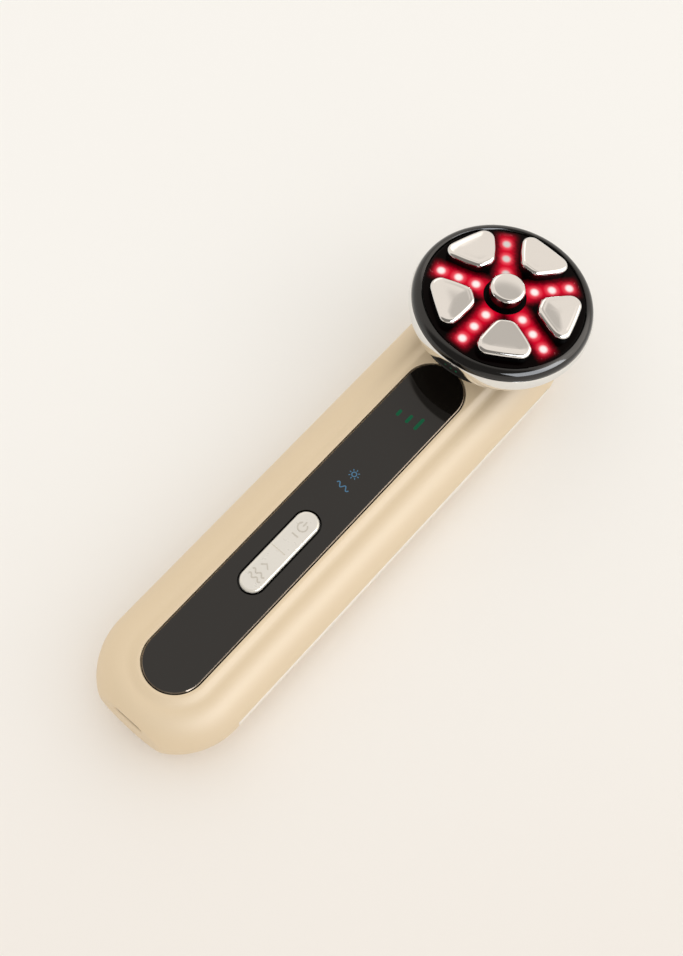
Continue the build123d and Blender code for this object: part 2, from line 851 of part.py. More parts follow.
electrode_blank = extrude(petal_outline(), petal_rise)
electrode_blank = fillet(electrode_blank.edges().group_by(Axis.Z)[-1], petal_edge)
electrode_screw = screw(
    electrode_screw_radius,
    electrode_head_radius,
    electrode_head_thickness,
    led_board_thickness + electrode_screw_depth,
)


def stem(x, y):
    """An electrode's stem and the hole up its middle."""
    body = rod(stem_radius, led_board_top, face_top + boss_root, x, y)
    pilot_end = led_board_top + electrode_screw_depth + pilot_room
    return body, rod(electrode_screw_radius + screw_play, led_board_top - cut_margin, pilot_end, x, y)


led_board = rod(led_board_radius, led_board_bottom, led_board_top)
petals = []
electrode_screws = [Pos(0, 0, led_board_bottom) * electrode_screw]
for angle in petal_angles():
    x, y = around(stem_ring, angle)
    stem_body, stem_bore = stem(x, y)
    cap = Rot(0, 0, angle - 90) * Pos(0, 0, face_top) * electrode_blank
    petals.append(cap + stem_body - stem_bore)
    face_plate += rod(boss_radius, led_board_top, lens_bottom + boss_root, x, y)
    face_plate -= rod(stem_radius + stem_play, 0, face_top + cut_margin, x, y)
    led_board -= rod(electrode_screw_radius + hole_play, -big / 2, big / 2, x, y)
    electrode_screws.append(Pos(x, y, led_board_bottom) * electrode_screw)
led_board -= rod(electrode_screw_radius + hole_play, -big / 2, big / 2)

centre_cap = rod(centre_radius, face_top, face_top + centre_rise)
centre_cap = fillet(centre_cap.edges().group_by(Axis.Z)[-1], petal_edge)
centre_stem, centre_bore = stem(0, 0)
centre_electrode = centre_cap + centre_stem - centre_bore
centre_collar = rod(collar_radius, lens_bottom, face_top)
centre_collar += rod(collar_foot_radius, led_board_top, lens_bottom + boss_root)
centre_collar -= rod(stem_radius + stem_play, 0, big / 2)

face_leds = []
for angle in spoke_angles():
    for step in face_led_steps:
        led = block(*face_led_size, spoke_reach - step, 0, led_board_top)
        face_leds.append(Rot(0, 0, angle) * led)

temperature_sensor = Pos(sensor_place, 0, led_board_bottom - sensor_radius) * Sphere(sensor_radius)

# ---------------------------------------------------------------- ribbon from the board to the head
ribbon_socket = Box(*ribbon_socket_size, align=(Align.CENTER, Align.CENTER, Align.MIN))
board_socket_middle = board_end - ribbon_socket_size[1] / 2 - ribbon_socket_margin
board_socket = Pos(0, board_socket_middle, board_top) * ribbon_socket
face_socket_low = led_board_bottom - ribbon_socket_size[2]
face_socket = head_frame * (Pos(0, -ribbon_offset, face_socket_low) * ribbon_socket)
ribbon_top = (head_frame * Pos(0, -ribbon_offset, face_socket_low)).position
ribbon_start = board_socket_middle + ribbon_socket_size[1] / 2
ribbon_level = board_top + ribbon_height
ribbon_path = FilletPolyline(
    (0, ribbon_start, ribbon_level),
    (0, ribbon_top.Y - (ribbon_top.Z - ribbon_level) * tan(tilt), ribbon_level),
    (0, ribbon_top.Y, ribbon_top.Z),
    radius=ribbon_bend,
)
ribbon_start_plane = Plane(ribbon_path @ 0, x_dir=(1, 0, 0), z_dir=(0, 1, 0))
head_ribbon = sweep(ribbon_start_plane * Rectangle(ribbon_width, ribbon_thickness), path=ribbon_path)

# ---------------------------------------------------------------- write one file per node
os.makedirs("parts", exist_ok=True)
save("rear_shell", rear_shell)
save("front_shell", front_shell)
save("side_strip_left", side_strip(-1))
save("side_strip_right", side_strip(1))
save("control_panel", control_panel)
save("panel_tape", panel_tape)
save("rocker_key", rocker_key)
save("key_frame", key_frame)
save("key_pad", key_pad)
save("switch_cases", *switch_bodies)
save("switch_plunger_lower", plungers[0])
save("switch_plunger_upper", plungers[1])
save("light_holder", light_holder)
save("level_light_pipes", *level_pipes)
save("mode_light_pipes", *mode_pipes)
save("level_leds", *level_leds)
save("mode_leds", *mode_leds)
save("main_board", main_board)
save("controller_chip", controller_chip)
save("charger_chip", charger_chip)
save("charging_socket", charging_socket)
save("socket_tongue", socket_tongue)
save("battery_cell", battery_cell)
save("battery_pad", battery_pad)
save("battery_header", battery_header)
save("battery_plug", battery_plug)
save("battery_lead_positive", battery_lead(1))
save("battery_lead_negative", battery_lead(-1))
save("rf_coil_core", rf_coil_core)
save("rf_coil_winding", rf_coil_winding)
save("ribbon_sockets", board_socket, face_socket)
save("head_ribbon", head_ribbon)
save("board_screws", *board_screws)
save("case_screws", *case_screws)
save("screw_plugs", *screw_plugs)
save("head_bowl", head_frame * head_bowl)
save("head_screws", *[head_frame * one for one in head_screws])
save("bowl_gasket", head_frame * bowl_gasket)
save("bezel_ring", head_frame * bezel_ring)
save("led_board", head_frame * led_board)
save("face_leds", *[head_frame * one for one in face_leds])
save("face_plate", head_frame * face_plate)
save("light_window", head_frame * light_window)
save("centre_collar", head_frame * centre_collar)
for number, petal in enumerate(petals, start=1):
    save(f"petal_electrode_{number}", head_frame * petal)
save("centre_electrode", head_frame * centre_electrode)
save("electrode_screws", *[head_frame * one for one in electrode_screws])
save("temperature_sensor", head_frame * temperature_sensor)
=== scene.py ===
from math import asin, atan2, cos, degrees, hypot, pi, radians, sin, sqrt, tan

import bmesh
import bpy
from mathutils import Matrix, Vector


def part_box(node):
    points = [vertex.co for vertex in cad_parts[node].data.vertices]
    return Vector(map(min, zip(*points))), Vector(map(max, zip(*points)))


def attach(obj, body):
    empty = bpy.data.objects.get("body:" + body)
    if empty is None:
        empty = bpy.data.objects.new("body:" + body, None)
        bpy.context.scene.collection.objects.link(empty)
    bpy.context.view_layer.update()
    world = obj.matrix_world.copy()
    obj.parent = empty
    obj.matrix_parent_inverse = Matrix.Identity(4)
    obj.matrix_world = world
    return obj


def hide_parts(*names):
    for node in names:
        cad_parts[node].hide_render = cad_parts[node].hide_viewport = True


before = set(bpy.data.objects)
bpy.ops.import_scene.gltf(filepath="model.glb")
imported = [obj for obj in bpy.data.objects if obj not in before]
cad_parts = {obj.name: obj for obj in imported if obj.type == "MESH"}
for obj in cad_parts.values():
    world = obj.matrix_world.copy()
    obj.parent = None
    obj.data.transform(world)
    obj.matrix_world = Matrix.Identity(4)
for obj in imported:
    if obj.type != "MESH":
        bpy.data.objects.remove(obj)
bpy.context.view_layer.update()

# ---------------------------------------------------------------- rear shell
# The half of the handle that the device lies on, moulded in cream ABS with a soft satin face.
# A lip inside its edge centres it in the front half, and four screws, sunk in counterbores,
# pull the two together through tall bosses. Sizes are in millimetres, in the handle's own frame.
half_width = 19.7
run = 120.0  # between the centres of the two round ends
parting = 10.75
rest_half_width = 8.7
wall = 2.4
butt = 17.0  # from the butt's centre to its flat end
butt_edge = 0.5
lip_inset, lip_height, lip_draft = 1.6, 1.2, 0.06
strip_low, strip_high = parting - 1.5, parting + 1.5
strip_start, strip_end = 0.6, 122.0
groove_depth, groove_play = 0.83, 0.05
groove_foot, groove_roof = strip_low - groove_play, strip_high + groove_play
groove_margin = 0.1  # the shells' curves start this far from the groove
seam = 0.12  # round on each shell's edge, which leaves a fine dark line between them
seam_bend, seam_reach = 0.3 * seam, 0.8
case_screw_x, case_screw_places = 6.0, (4.0, 104.0)
case_boss_radius, case_joint = 3.0, 8.0
case_hole_radius, hole_sides = 1.2, 40
counterbore_radius, counterbore_depth = 2.3, 3.0
counterbore_edge, counterbore_flare = 0.2, 0.8
cut_past = 1.0  # how far a cut starts before a face and ends after it
handle_place = Matrix.Scale(0.001, 4) @ Matrix.Translation(
    (0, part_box("rear_shell")[0].y * 1000 + butt, 0)
)


def linear(code):
    """The linear colour of an sRGB hex value."""
    parts = [int(code[i : i + 2], 16) / 255 for i in (1, 3, 5)]
    return [p / 12.92 if p <= 0.04045 else ((p + 0.055) / 1.055) ** 2.4 for p in parts] + [1.0]


def add(tree, kind, inputs=None, **settings):
    """A node with its settings. An input is a value, or a socket or a node to link from."""
    node = tree.nodes.new(kind)
    for name, value in settings.items():
        setattr(node, name, value)
    for name, value in (inputs or {}).items():
        if isinstance(value, bpy.types.Node):
            value = next(output for output in value.outputs if output.enabled)
        if isinstance(value, bpy.types.NodeSocket):
            tree.links.new(value, node.inputs[name])
        else:
            node.inputs[name].default_value = value
    return node


def material(name, colour, roughness, **sockets):
    """A material with constant values on its shader, by socket name."""
    made = bpy.data.materials.new(name)
    made.use_nodes = True
    inputs = made.node_tree.nodes["Principled BSDF"].inputs
    inputs["Base Color"].default_value = linear(colour)
    inputs["Roughness"].default_value = roughness
    for key, value in sockets.items():
        inputs[key.replace("_", " ")].default_value = value
    return made


def surface(name, colour, roughness, grain, relief, shade=0.04, gloss=0.03, stretch=(1, 1, 1), **sockets):
    """A material with a relief of this grain and height, in millimetres, and faint clouds.
    shade and gloss are how far its colour and its roughness vary."""
    made = material(name, colour, roughness, **sockets)
    tree = made.node_tree
    inputs = tree.nodes["Principled BSDF"].inputs
    paint = list(inputs["Base Color"].default_value)[:3]
    darker, paler = [c * (1 - shade) for c in paint], [min(1, c * (1 + shade)) for c in paint]
    here = add(tree, "ShaderNodeTexCoord").outputs["Object"]
    pulled = add(tree, "ShaderNodeMapping", {"Vector": here, "Scale": stretch})
    fine = add(tree, "ShaderNodeTexNoise", {"Vector": pulled, "Scale": 1000 / grain, "Detail": 2.0})
    cloud = add(tree, "ShaderNodeTexNoise", {"Vector": here, "Scale": 70.0, "Detail": 3.0})
    tone = add(tree, "ShaderNodeMix", {0: cloud, 6: darker + [1], 7: paler + [1]}, data_type="RGBA")
    rough = inputs["Roughness"].default_value
    rough_range = {"To Min": max(0.0, rough - gloss), "To Max": rough + gloss}
    spread = add(tree, "ShaderNodeMapRange", {"Value": fine, **rough_range})
    bump = add(tree, "ShaderNodeBump", {"Height": fine, "Distance": relief / 1000})
    tree.links.new(tone.outputs[2], inputs["Base Color"])
    tree.links.new(spread.outputs["Result"], inputs["Roughness"])
    tree.links.new(bump.outputs["Normal"], inputs["Normal"])
    return made


def arc(x, y, radius, first, last, steps=20, rise=None):
    """Points of an arc between two angles in degrees. With a rise of its own it is an ellipse's."""
    rise = radius if rise is None else rise
    turns = [radians(first + (last - first) * step / steps) for step in range(steps + 1)]
    return [(x + radius * cos(t), y + rise * sin(t)) for t in turns]


def rails(path, start=0.0, end=run, flat=None, sunk=False):
    """Rails that sweep an outline round the handle between two end centres.
    flat is how far the butt's flat end lies, and sunk cuts the groove of the side strips."""
    made = []
    for across, height in path:
        inside = sunk and groove_foot - 1e-6 < height < groove_roof + 1e-6
        made.append((across, height, start, end, flat, groove_depth if inside else 0.0))
    return made


def stations():
    """Places round the handle: how far along its run, the turn in degrees, and whether a groove is there."""
    head_steps, butt_steps = 72, 112
    first = strip_start / run
    last = degrees(asin((strip_end - run + groove_play) / half_width))
    made = [(0, 0, False), (first, 0, False), (first, 0, True), (1, 0, True)]
    made += [(1, last, True), (1, last, False)]
    made += [(1, last + (180 - 2 * last) * step / head_steps, False) for step in range(1, head_steps)]
    made += [(1, 180 - last, False), (1, 180 - last, True), (1, 180, True)]
    made += [(first, 180, True), (first, 180, False), (0, 180, False)]
    return made + [(0, 180 + 180 * step / butt_steps, False) for step in range(1, butt_steps)]


def swept(rail_list, station_list):
    """Rows of points, one for each rail, at every station."""
    rows = []
    for across, height, start, end, flat, sunk in rail_list:
        row = []
        for along, turn, grooved in station_list:
            reach = across - (sunk if grooved else 0)
            y = start + along * (end - start) + reach * sin(radians(turn))
            if flat is not None:
                over = y + flat
                y = (over + hypot(over, butt_edge)) / 2 - flat
            row.append((reach * cos(radians(turn)), y, height))
        rows.append(row)
    return rows


def baked(form):
    """Mesh of a form, which is used up."""
    mesh = bpy.data.meshes.new("form")
    form.to_mesh(mesh)
    form.free()
    return mesh


def skin(rows, loop=True, wrap=True):
    """Closed mesh over rows of points. loop joins the last row to the first, and wrap each row's ends."""
    form = bmesh.new()
    points = [[form.verts.new(point) for point in row] for row in rows]
    pairs = list(zip(points, points[1:])) + ([(points[-1], points[0])] if loop else [])
    for low, high in pairs:
        for i in range(len(low) if wrap else len(low) - 1):
            j = (i + 1) % len(low)
            form.faces.new((low[i], low[j], high[j], high[i]))
    if not wrap:
        form.faces.new([row[0] for row in points])
        form.faces.new([row[-1] for row in reversed(points)])
    bmesh.ops.remove_doubles(form, verts=form.verts, dist=0.002)
    bmesh.ops.recalc_face_normals(form, faces=form.faces)
    return baked(form)


def turned(profile, steps, loop=True):
    """Form turned about the Z axis from radii and heights: a ring with loop, and a solid without."""
    circle = [(0, 360 * step / steps, False) for step in range(steps)]
    return skin(swept(rails(profile, 0, 0), circle), loop)


def stand_in(data, name="stand_in"):
    """An object that holds a mesh or a lamp, in the scene."""
    thing = bpy.data.objects.new(name, data)
    bpy.context.scene.collection.objects.link(thing)
    return thing


def combined(mesh, tool, operation="DIFFERENCE"):
    """The mesh less, or with, another mesh, with the slivers along the cut welded."""
    body, other = stand_in(mesh), stand_in(tool)
    modifier = body.modifiers.new("combine", "BOOLEAN")
    modifier.solver, modifier.operation, modifier.object = "EXACT", operation, other
    depsgraph = bpy.context.evaluated_depsgraph_get()
    result = bpy.data.meshes.new_from_object(body.evaluated_get(depsgraph))
    for thing in (body, other):
        bpy.data.objects.remove(thing)
    form = bmesh.new()
    form.from_mesh(result)
    weld = 0.003
    bmesh.ops.remove_doubles(form, verts=form.verts, dist=weld)
    bmesh.ops.dissolve_degenerate(form, edges=form.edges, dist=weld)
    form.to_mesh(result)
    form.free()
    return result


def copies_tree():
    """Geometry Nodes tree that sets copies of a piece on a grid, each turned about Z from the last."""
    tree = bpy.data.node_groups.new("copies", "GeometryNodeTree")
    tree.is_modifier = True
    for name, kind in (
        ("Piece", "NodeSocketObject"),
        ("Columns", "NodeSocketInt"),
        ("Rows", "NodeSocketInt"),
        ("Column Step", "NodeSocketFloat"),
        ("Row Step", "NodeSocketFloat"),
        ("Turn", "NodeSocketFloat"),
        ("Finish", "NodeSocketMaterial"),
    ):
        tree.interface.new_socket(name=name, in_out="INPUT", socket_type=kind)
    tree.interface.new_socket(name="Geometry", in_out="OUTPUT", socket_type="NodeSocketGeometry")
    given = add(tree, "NodeGroupInput").outputs
    source = add(tree, "GeometryNodeObjectInfo", {"Object": given["Piece"]}).outputs["Geometry"]
    count = add(tree, "ShaderNodeMath", {0: given["Columns"], 1: given["Rows"]}, operation="MULTIPLY")
    line = add(tree, "GeometryNodeMeshLine", {"Count": count, "Offset": (0, 0, 0)})
    index = add(tree, "GeometryNodeInputIndex")
    column = add(tree, "ShaderNodeMath", {0: index, 1: given["Columns"]}, operation="FLOORED_MODULO")
    share = add(tree, "ShaderNodeMath", {0: index, 1: given["Columns"]}, operation="DIVIDE")
    row = add(tree, "ShaderNodeMath", {0: share}, operation="FLOOR")
    x = add(tree, "ShaderNodeMath", {0: column, 1: given["Column Step"]}, operation="MULTIPLY")
    y = add(tree, "ShaderNodeMath", {0: row, 1: given["Row Step"]}, operation="MULTIPLY")
    angle = add(tree, "ShaderNodeMath", {0: index, 1: given["Turn"]}, operation="MULTIPLY")
    spot = add(tree, "ShaderNodeCombineXYZ", {"X": x, "Y": y})
    twist = add(tree, "ShaderNodeCombineXYZ", {"Z": angle})
    points = add(tree, "GeometryNodeSetPosition", {"Geometry": line, "Position": spot})
    placed = {"Points": points, "Instance": source, "Rotation": twist}
    instances = add(tree, "GeometryNodeInstanceOnPoints", placed)
    real = add(tree, "GeometryNodeRealizeInstances", {"Geometry": instances})
    done = add(tree, "GeometryNodeSetMaterial", {"Geometry": real, "Material": given["Finish"]})
    add(tree, "NodeGroupOutput", {"Geometry": done})
    return tree


copier = copies_tree()


def copies(mesh, columns=1, rows=1, column_step=0.0, row_step=0.0, turn=0.0):
    """Mesh of the copies that the tree makes of a mesh. The first copy stays where the mesh is."""
    source, carrier = stand_in(mesh), stand_in(bpy.data.meshes.new("carrier"))
    modifier = carrier.modifiers.new("copies", "NODES")
    modifier.node_group = copier
    values = {
        "Piece": source,
        "Columns": columns,
        "Rows": rows,
        "Column Step": column_step,
        "Row Step": row_step,
        "Turn": radians(turn),
    }
    for item in copier.interface.items_tree:
        if item.name in values:
            modifier[item.identifier] = values[item.name]
    depsgraph = bpy.context.evaluated_depsgraph_get()
    result = bpy.data.meshes.new_from_object(carrier.evaluated_get(depsgraph))
    for thing in (source, carrier):
        bpy.data.objects.remove(thing)
    return result


def shifted(mesh, x=0.0, y=0.0, z=0.0):
    """The mesh, moved."""
    mesh.transform(Matrix.Translation((x, y, z)))
    return mesh


def on_case_screws(mesh):
    """Copies of a mesh on the axes of the four case screws."""
    span = case_screw_places[1] - case_screw_places[0]
    return shifted(copies(mesh, 2, 2, 2 * case_screw_x, span), -case_screw_x, case_screw_places[0])


def piece(name, mesh, finishes, slot, nodes=(), place=handle_place, body="handle", sharp=30):
    """A finished piece in the shared frame, on its body, that stands for these CAD nodes."""
    mesh.transform(place)
    mesh.name = name
    finishes = finishes if isinstance(finishes, list) else [finishes]
    parts = [face.material_index for face in mesh.polygons]
    mesh.materials.clear()
    for finish in finishes:
        mesh.materials.append(finish)
    if len(finishes) > 1:
        mesh.polygons.foreach_set("material_index", parts)
    mesh.shade_smooth()
    mesh.set_sharp_from_angle(angle=radians(sharp))
    thing = stand_in(mesh, name)
    smooth = thing.modifiers.new("smooth", "WEIGHTED_NORMAL")
    smooth.keep_sharp = True
    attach(thing, body)
    if nodes:
        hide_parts(*nodes)
    return thing


def lower_reach(height):
    """How far the outer face of the rear shell reaches at a height."""
    return rest_half_width + (half_width - rest_half_width) * sqrt(1 - ((height - parting) / parting) ** 2)


def seam_edge(side, reach):
    """A shell's edge from the strips' groove to the parting line. side is -1 below the line and 1 above."""
    foot = groove_foot if side < 0 else groove_roof
    return [
        (reach(foot), foot),
        (reach(parting + side * seam_reach), parting + side * seam_reach),
        (half_width, parting + side * seam),
        (half_width - seam_bend, parting + side * seam_bend),
        (half_width - seam, parting),
    ]


# Satin ABS: a soft broad sheen, and a spark texture too fine to show, drawn here at 0.35 mm.
cream = surface(
    "cream_abs_satin", "#DDC6A2", 0.6, grain=0.35, relief=0.004, shade=0.02, gloss=0.05,
    Specular_IOR_Level=0.8, Coat_Weight=0.5, Coat_Roughness=0.58,
)
lower = arc(rest_half_width, parting, half_width - rest_half_width, 270, 358, 26, rise=parting)
below_groove = [point for point in lower if point[1] < groove_foot - groove_margin]
rear_outline = rails([(0, 0)] + below_groove + [(lower_reach(groove_foot), groove_foot)], flat=butt)
rear_outline += rails(seam_edge(-1, lower_reach), flat=butt, sunk=True)
lip_outer, lip_top = half_width - lip_inset, parting + lip_height
rear_outline += rails([(lip_outer, parting), (lip_outer - lip_draft, lip_top)], flat=butt - lip_inset)
inner_reach = half_width - wall - rest_half_width
floor_inside = arc(rest_half_width, parting, inner_reach, 360, 270, 20, rise=parting - wall)
rear_outline += rails([(half_width - wall, lip_top)] + floor_inside + [(0, wall)], flat=butt - wall)
handle_stations = stations()
rear = skin(swept(rear_outline, handle_stations), loop=False)
boss = [(0, wall / 2), (case_boss_radius, wall / 2), (case_boss_radius, case_joint), (0, case_joint)]
rear = combined(rear, on_case_screws(turned(boss, hole_sides, False)), "UNION")
counterbore = [
    (0, -cut_past),
    (counterbore_radius + counterbore_flare, -cut_past),
    (counterbore_radius + counterbore_edge, -0.02),
    (counterbore_radius, counterbore_edge - 0.02),
    (counterbore_radius, counterbore_depth),
    (case_hole_radius, counterbore_depth),
    (case_hole_radius, case_joint + cut_past),
    (0, case_joint + cut_past),
]
rear = combined(rear, on_case_screws(turned(counterbore, hole_sides, False)))
piece("rear_shell", rear, cream, "shell_cream", ["rear_shell"])

# ---------------------------------------------------------------- battery and its leads
# A soft lithium cell in silver laminate foil, stuck to the rear shell's floor with an acrylic foam pad.
# Two silicone-covered leads run from its end to a nylon plug in the header under the board.


def dress(finish, *nodes):
    """Gives CAD nodes that stay as they are their finish."""
    for node in nodes:
        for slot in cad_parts[node].material_slots:
            slot.material = finish


# Laminate foil: a broad grey glint that is broken by faint dents.
foil = surface("aluminium_laminate_foil", "#C9CBCE", 0.32, 2.0, 0.02, 0.05, 0.08, Metallic=1.0)
# Foam tape: dark, matt and open-pored.
foam = surface("acrylic_foam_tape", "#3A3A3C", 0.85, 0.4, 0.03, 0.1, 0.05)
# Moulded nylon: a milky white with a low sheen.
nylon = surface("nylon_66_moulded", "#E9E4D6", 0.5, 0.5, 0.005, Subsurface_Weight=0.05)
# Silicone sleeves: even colour and a soft sheen.
lead_red = surface("silicone_lead_red", "#B5231D", 0.45, 0.5, 0.004)
lead_black = surface("silicone_lead_black", "#1B1B1C", 0.45, 0.5, 0.004)
dress(foil, "battery_cell")
dress(foam, "battery_pad")
dress(nylon, "battery_header", "battery_plug")
dress(lead_red, "battery_lead_positive")
dress(lead_black, "battery_lead_negative")

# ---------------------------------------------------------------- front shell
# The upper half of the handle with the platform of the control panel and the neck of the head, one
# moulding in the same cream ABS. The panel's pocket and the window under it open its top face, the
# charging port opens its butt, and the neck is bored for the ribbon.
crown_start, crown = 12.1, 21.3
platform_half_width, platform_top = 9.2, 22.4
flank, flank_blend, flank_step = 28.0, 3.5, 4.0  # slope beside the platform, and its blend into the crown
shoulder_span, shoulder_round = 1.2, 1.6
panel_run = 95.9
pocket_radius, pocket_floor, pocket_edge = 8.42, 21.15, 0.08
window_half_width, window_start, window_end = 6.9, 18.5, 94.5
lip_play = 0.1
head_centre, head_tilt = Vector((0, 121.3, 36.2)), 6.4
bowl_depth, wire_hole = 8.0, 6.0
neck_radius, neck_bore, neck_roof, neck_sides = 12.5, 10.0, 2.4, 96
neck_start = -12.0  # first guess of the height at which the neck meets the handle
fillet_least, fillet_more, fillet_turn = 2.0, 2.0, 2.5
bore_low, neck_low = -24.0, -19.0
board_top = 13.9
socket_width, socket_height = 8.94, 3.26
port_edge = ((0.75, -0.3), (0.45, 0.0), (0.3, 0.12), (0.08, 0.3), (0.04, 5.0))  # gap and depth
head_turn = Matrix.Translation(head_centre) @ Matrix.Rotation(radians(-head_tilt), 4, "X")
head_place = handle_place @ head_turn


def rounded(*corners, steps=5):
    """Outline through corners of (across, height, radius), with an arc in each that has a radius."""
    path = []
    for index, corner in enumerate(corners):
        here = Vector(corner[:2])
        if len(corner) < 3:
            path.append(tuple(here))
            continue
        before = (Vector(corners[index - 1][:2]) - here).normalized()
        after = (Vector(corners[(index + 1) % len(corners)][:2]) - here).normalized()
        half = before.angle(after) / 2
        centre = here + (before + after).normalized() * corner[2] / sin(half)
        start = here + before * corner[2] / tan(half) - centre
        end = here + after * corner[2] / tan(half) - centre
        first = atan2(start.y, start.x)
        turn = (atan2(end.y, end.x) - first + pi) % (2 * pi) - pi
        for step in range(steps + 1):
            angle = first + turn * step / steps
            path.append((centre.x + corner[2] * cos(angle), centre.y + corner[2] * sin(angle)))
    return path


def bent(start, pull, end, steps=12):
    """Points of a smooth bend from start to end that a point between them draws out."""
    made = []
    for step in range(steps + 1):
        t = step / steps
        shares = ((1 - t) ** 2, 2 * t * (1 - t), t * t)
        made.append(tuple(shares[0] * a + shares[1] * b + shares[2] * c for a, b, c in zip(start, pull, end)))
    return made


def upper_reach(height, inset=0.0):
    """How far the front shell's face reaches at a height, drawn in by an inset."""
    share = (height - parting) / (crown - inset - parting)
    return crown_start + (half_width - inset - crown_start) * sqrt(1 - share * share)


upper = arc(crown_start, parting, half_width - crown_start, 2, 90, 26, rise=crown - parting)
above_groove = [point for point in upper if point[1] > groove_roof + groove_margin]
front_outline = rails(seam_edge(1, upper_reach)[::-1], flat=butt, sunk=True)
front_outline += rails([(upper_reach(groove_roof), groove_roof)] + above_groove, flat=butt)
# The blend out of the crown, the slope up to the platform and its softened shoulder.
front_outline += rails(arc(crown_start, crown + flank_blend, flank_blend, 270 - flank_step, 270 - flank, 6))
slope_foot = (platform_half_width + shoulder_span, platform_top - shoulder_span * tan(radians(flank)))
shoulder = (platform_half_width, platform_top, shoulder_round)
front_outline += rails(rounded(slope_foot, shoulder, (0, platform_top))[1:-1])
# The panel's pocket and the window in its floor.
pocket_corner = (pocket_radius, platform_top, pocket_edge)
pocket = rounded((half_width, platform_top), pocket_corner, (pocket_radius, 0), steps=3)[1:-1]
front_outline += rails(pocket + [(pocket_radius, pocket_floor)], 0, panel_run)
window_ends = (window_start + window_half_width, window_end - window_half_width)
window_side = [(window_half_width, pocket_floor), (window_half_width, crown - wall)]
front_outline += rails(window_side, *window_ends)
# The roof inside, and the rebate that takes the rear shell's lip.
roof = arc(crown_start, parting, half_width - wall - crown_start, 90, 0, 20, rise=crown - wall - parting)
rebate_roof, rebate_inset = lip_top + lip_play, lip_inset - lip_play
roof = [point for point in roof if point[1] > rebate_roof + groove_margin]
front_outline += rails(roof + [(upper_reach(rebate_roof, wall), rebate_roof)], flat=butt - wall)
rebate = [(upper_reach(rebate_roof, rebate_inset), rebate_roof), (half_width - rebate_inset, parting)]
front_outline += rails(rebate, flat=butt - rebate_inset)
front = skin(swept(front_outline, handle_stations))


def handle_height(x, y):
    """Height of the handle's top at a place, without the panel's pocket."""
    across = hypot(x, y - run) if y > run else abs(x)
    foot = crown_start - flank_blend * sin(radians(flank))
    if across <= platform_half_width:
        return platform_top
    if across <= foot:
        return platform_top - (across - platform_half_width) * tan(radians(flank))
    if across <= crown_start:
        return crown + flank_blend - sqrt(flank_blend**2 - (crown_start - across) ** 2)
    share = min(1.0, (across - crown_start) / (half_width - crown_start))
    return parting + (crown - parting) * sqrt(1 - share * share)


def neck_point(away, radius, height):
    """A point beside the neck's axis, in the handle's frame."""
    return head_turn @ (away * radius + Vector((0, 0, height)))


def meets_handle(away, radius):
    """Height on the neck's axis at which a line beside it comes to the handle's top."""
    height = neck_start
    for _ in range(12):
        point = neck_point(away, radius, height)
        height += handle_height(point.x, point.y) - point.z
    return height


def neck_rows():
    """Neck with a fillet that runs out on the handle: tight beside the panel and wide behind it."""
    columns = []
    for index in range(neck_sides):
        turn = 2 * pi * index / neck_sides
        away = Vector((cos(turn), sin(turn), 0))
        behind = 0.5 + 0.5 * sin(turn)
        reach = fillet_least + fillet_more * min(1.0, behind * fillet_turn)
        foot = neck_radius + reach
        ends = meets_handle(away, foot)
        slope = (meets_handle(away, foot + 0.05) - ends) / 0.05
        pull = (neck_radius, min(ends - slope * reach, -bowl_depth - 0.6))
        start = (neck_radius, min(pull[1] + reach * 1.3, -bowl_depth - 0.3))
        line = [(0, -bowl_depth), (neck_radius, -bowl_depth)] + bent(start, pull, (foot, ends))
        line += [(foot + 0.1, ends + slope * 0.1 - 0.12), (0, neck_low)]
        columns.append([tuple(neck_point(away, radius, height)) for radius, height in line])
    return list(zip(*columns))


front = combined(front, skin(neck_rows(), loop=False), "UNION")
bore_top = -bowl_depth - neck_roof
bore_outline = [(0, bore_low), (neck_bore, bore_low), (neck_bore, bore_top), (wire_hole, bore_top)]
bore = turned(bore_outline + [(wire_hole, 0), (0, 0)], neck_sides, False)
bore.transform(head_turn)
front = combined(front, bore)
port_middle = board_top + socket_height / 2


def port_row(gap, y):
    """Round-ended outline of the charging port, wider than its socket, at a place along the handle."""
    outline = arc((socket_width - socket_height) / 2, 0, socket_height / 2 + gap, -90, 90, 16)
    outline += [(-x, -z) for x, z in outline]
    return [(x, y, port_middle + z) for x, z in outline]


def closed(rows):
    """Prism through rows of points, with a face on each end."""
    form = bmesh.new()
    points = [[form.verts.new(point) for point in row] for row in rows]
    for low, high in zip(points, points[1:]):
        for i in range(len(low)):
            j = (i + 1) % len(low)
            form.faces.new((low[i], low[j], high[j], high[i]))
    form.faces.new(points[0])
    form.faces.new(reversed(points[-1]))
    bmesh.ops.recalc_face_normals(form, faces=form.faces)
    return baked(form)


front = combined(front, closed([port_row(gap, depth - butt) for gap, depth in port_edge]))
piece("front_shell", front, cream, "shell_cream", ["front_shell"])

# ---------------------------------------------------------------- side strips
# One thin strip along each side, ABS plated with bright satin silver, pressed into a groove that
# the two shells share. It covers their parting line between the butt and the head.
strip_thickness, strip_proud, strip_play = 0.9, 0.12, 0.02
strip_edge, strip_rails, strip_end_steps = 0.1, 8, 3
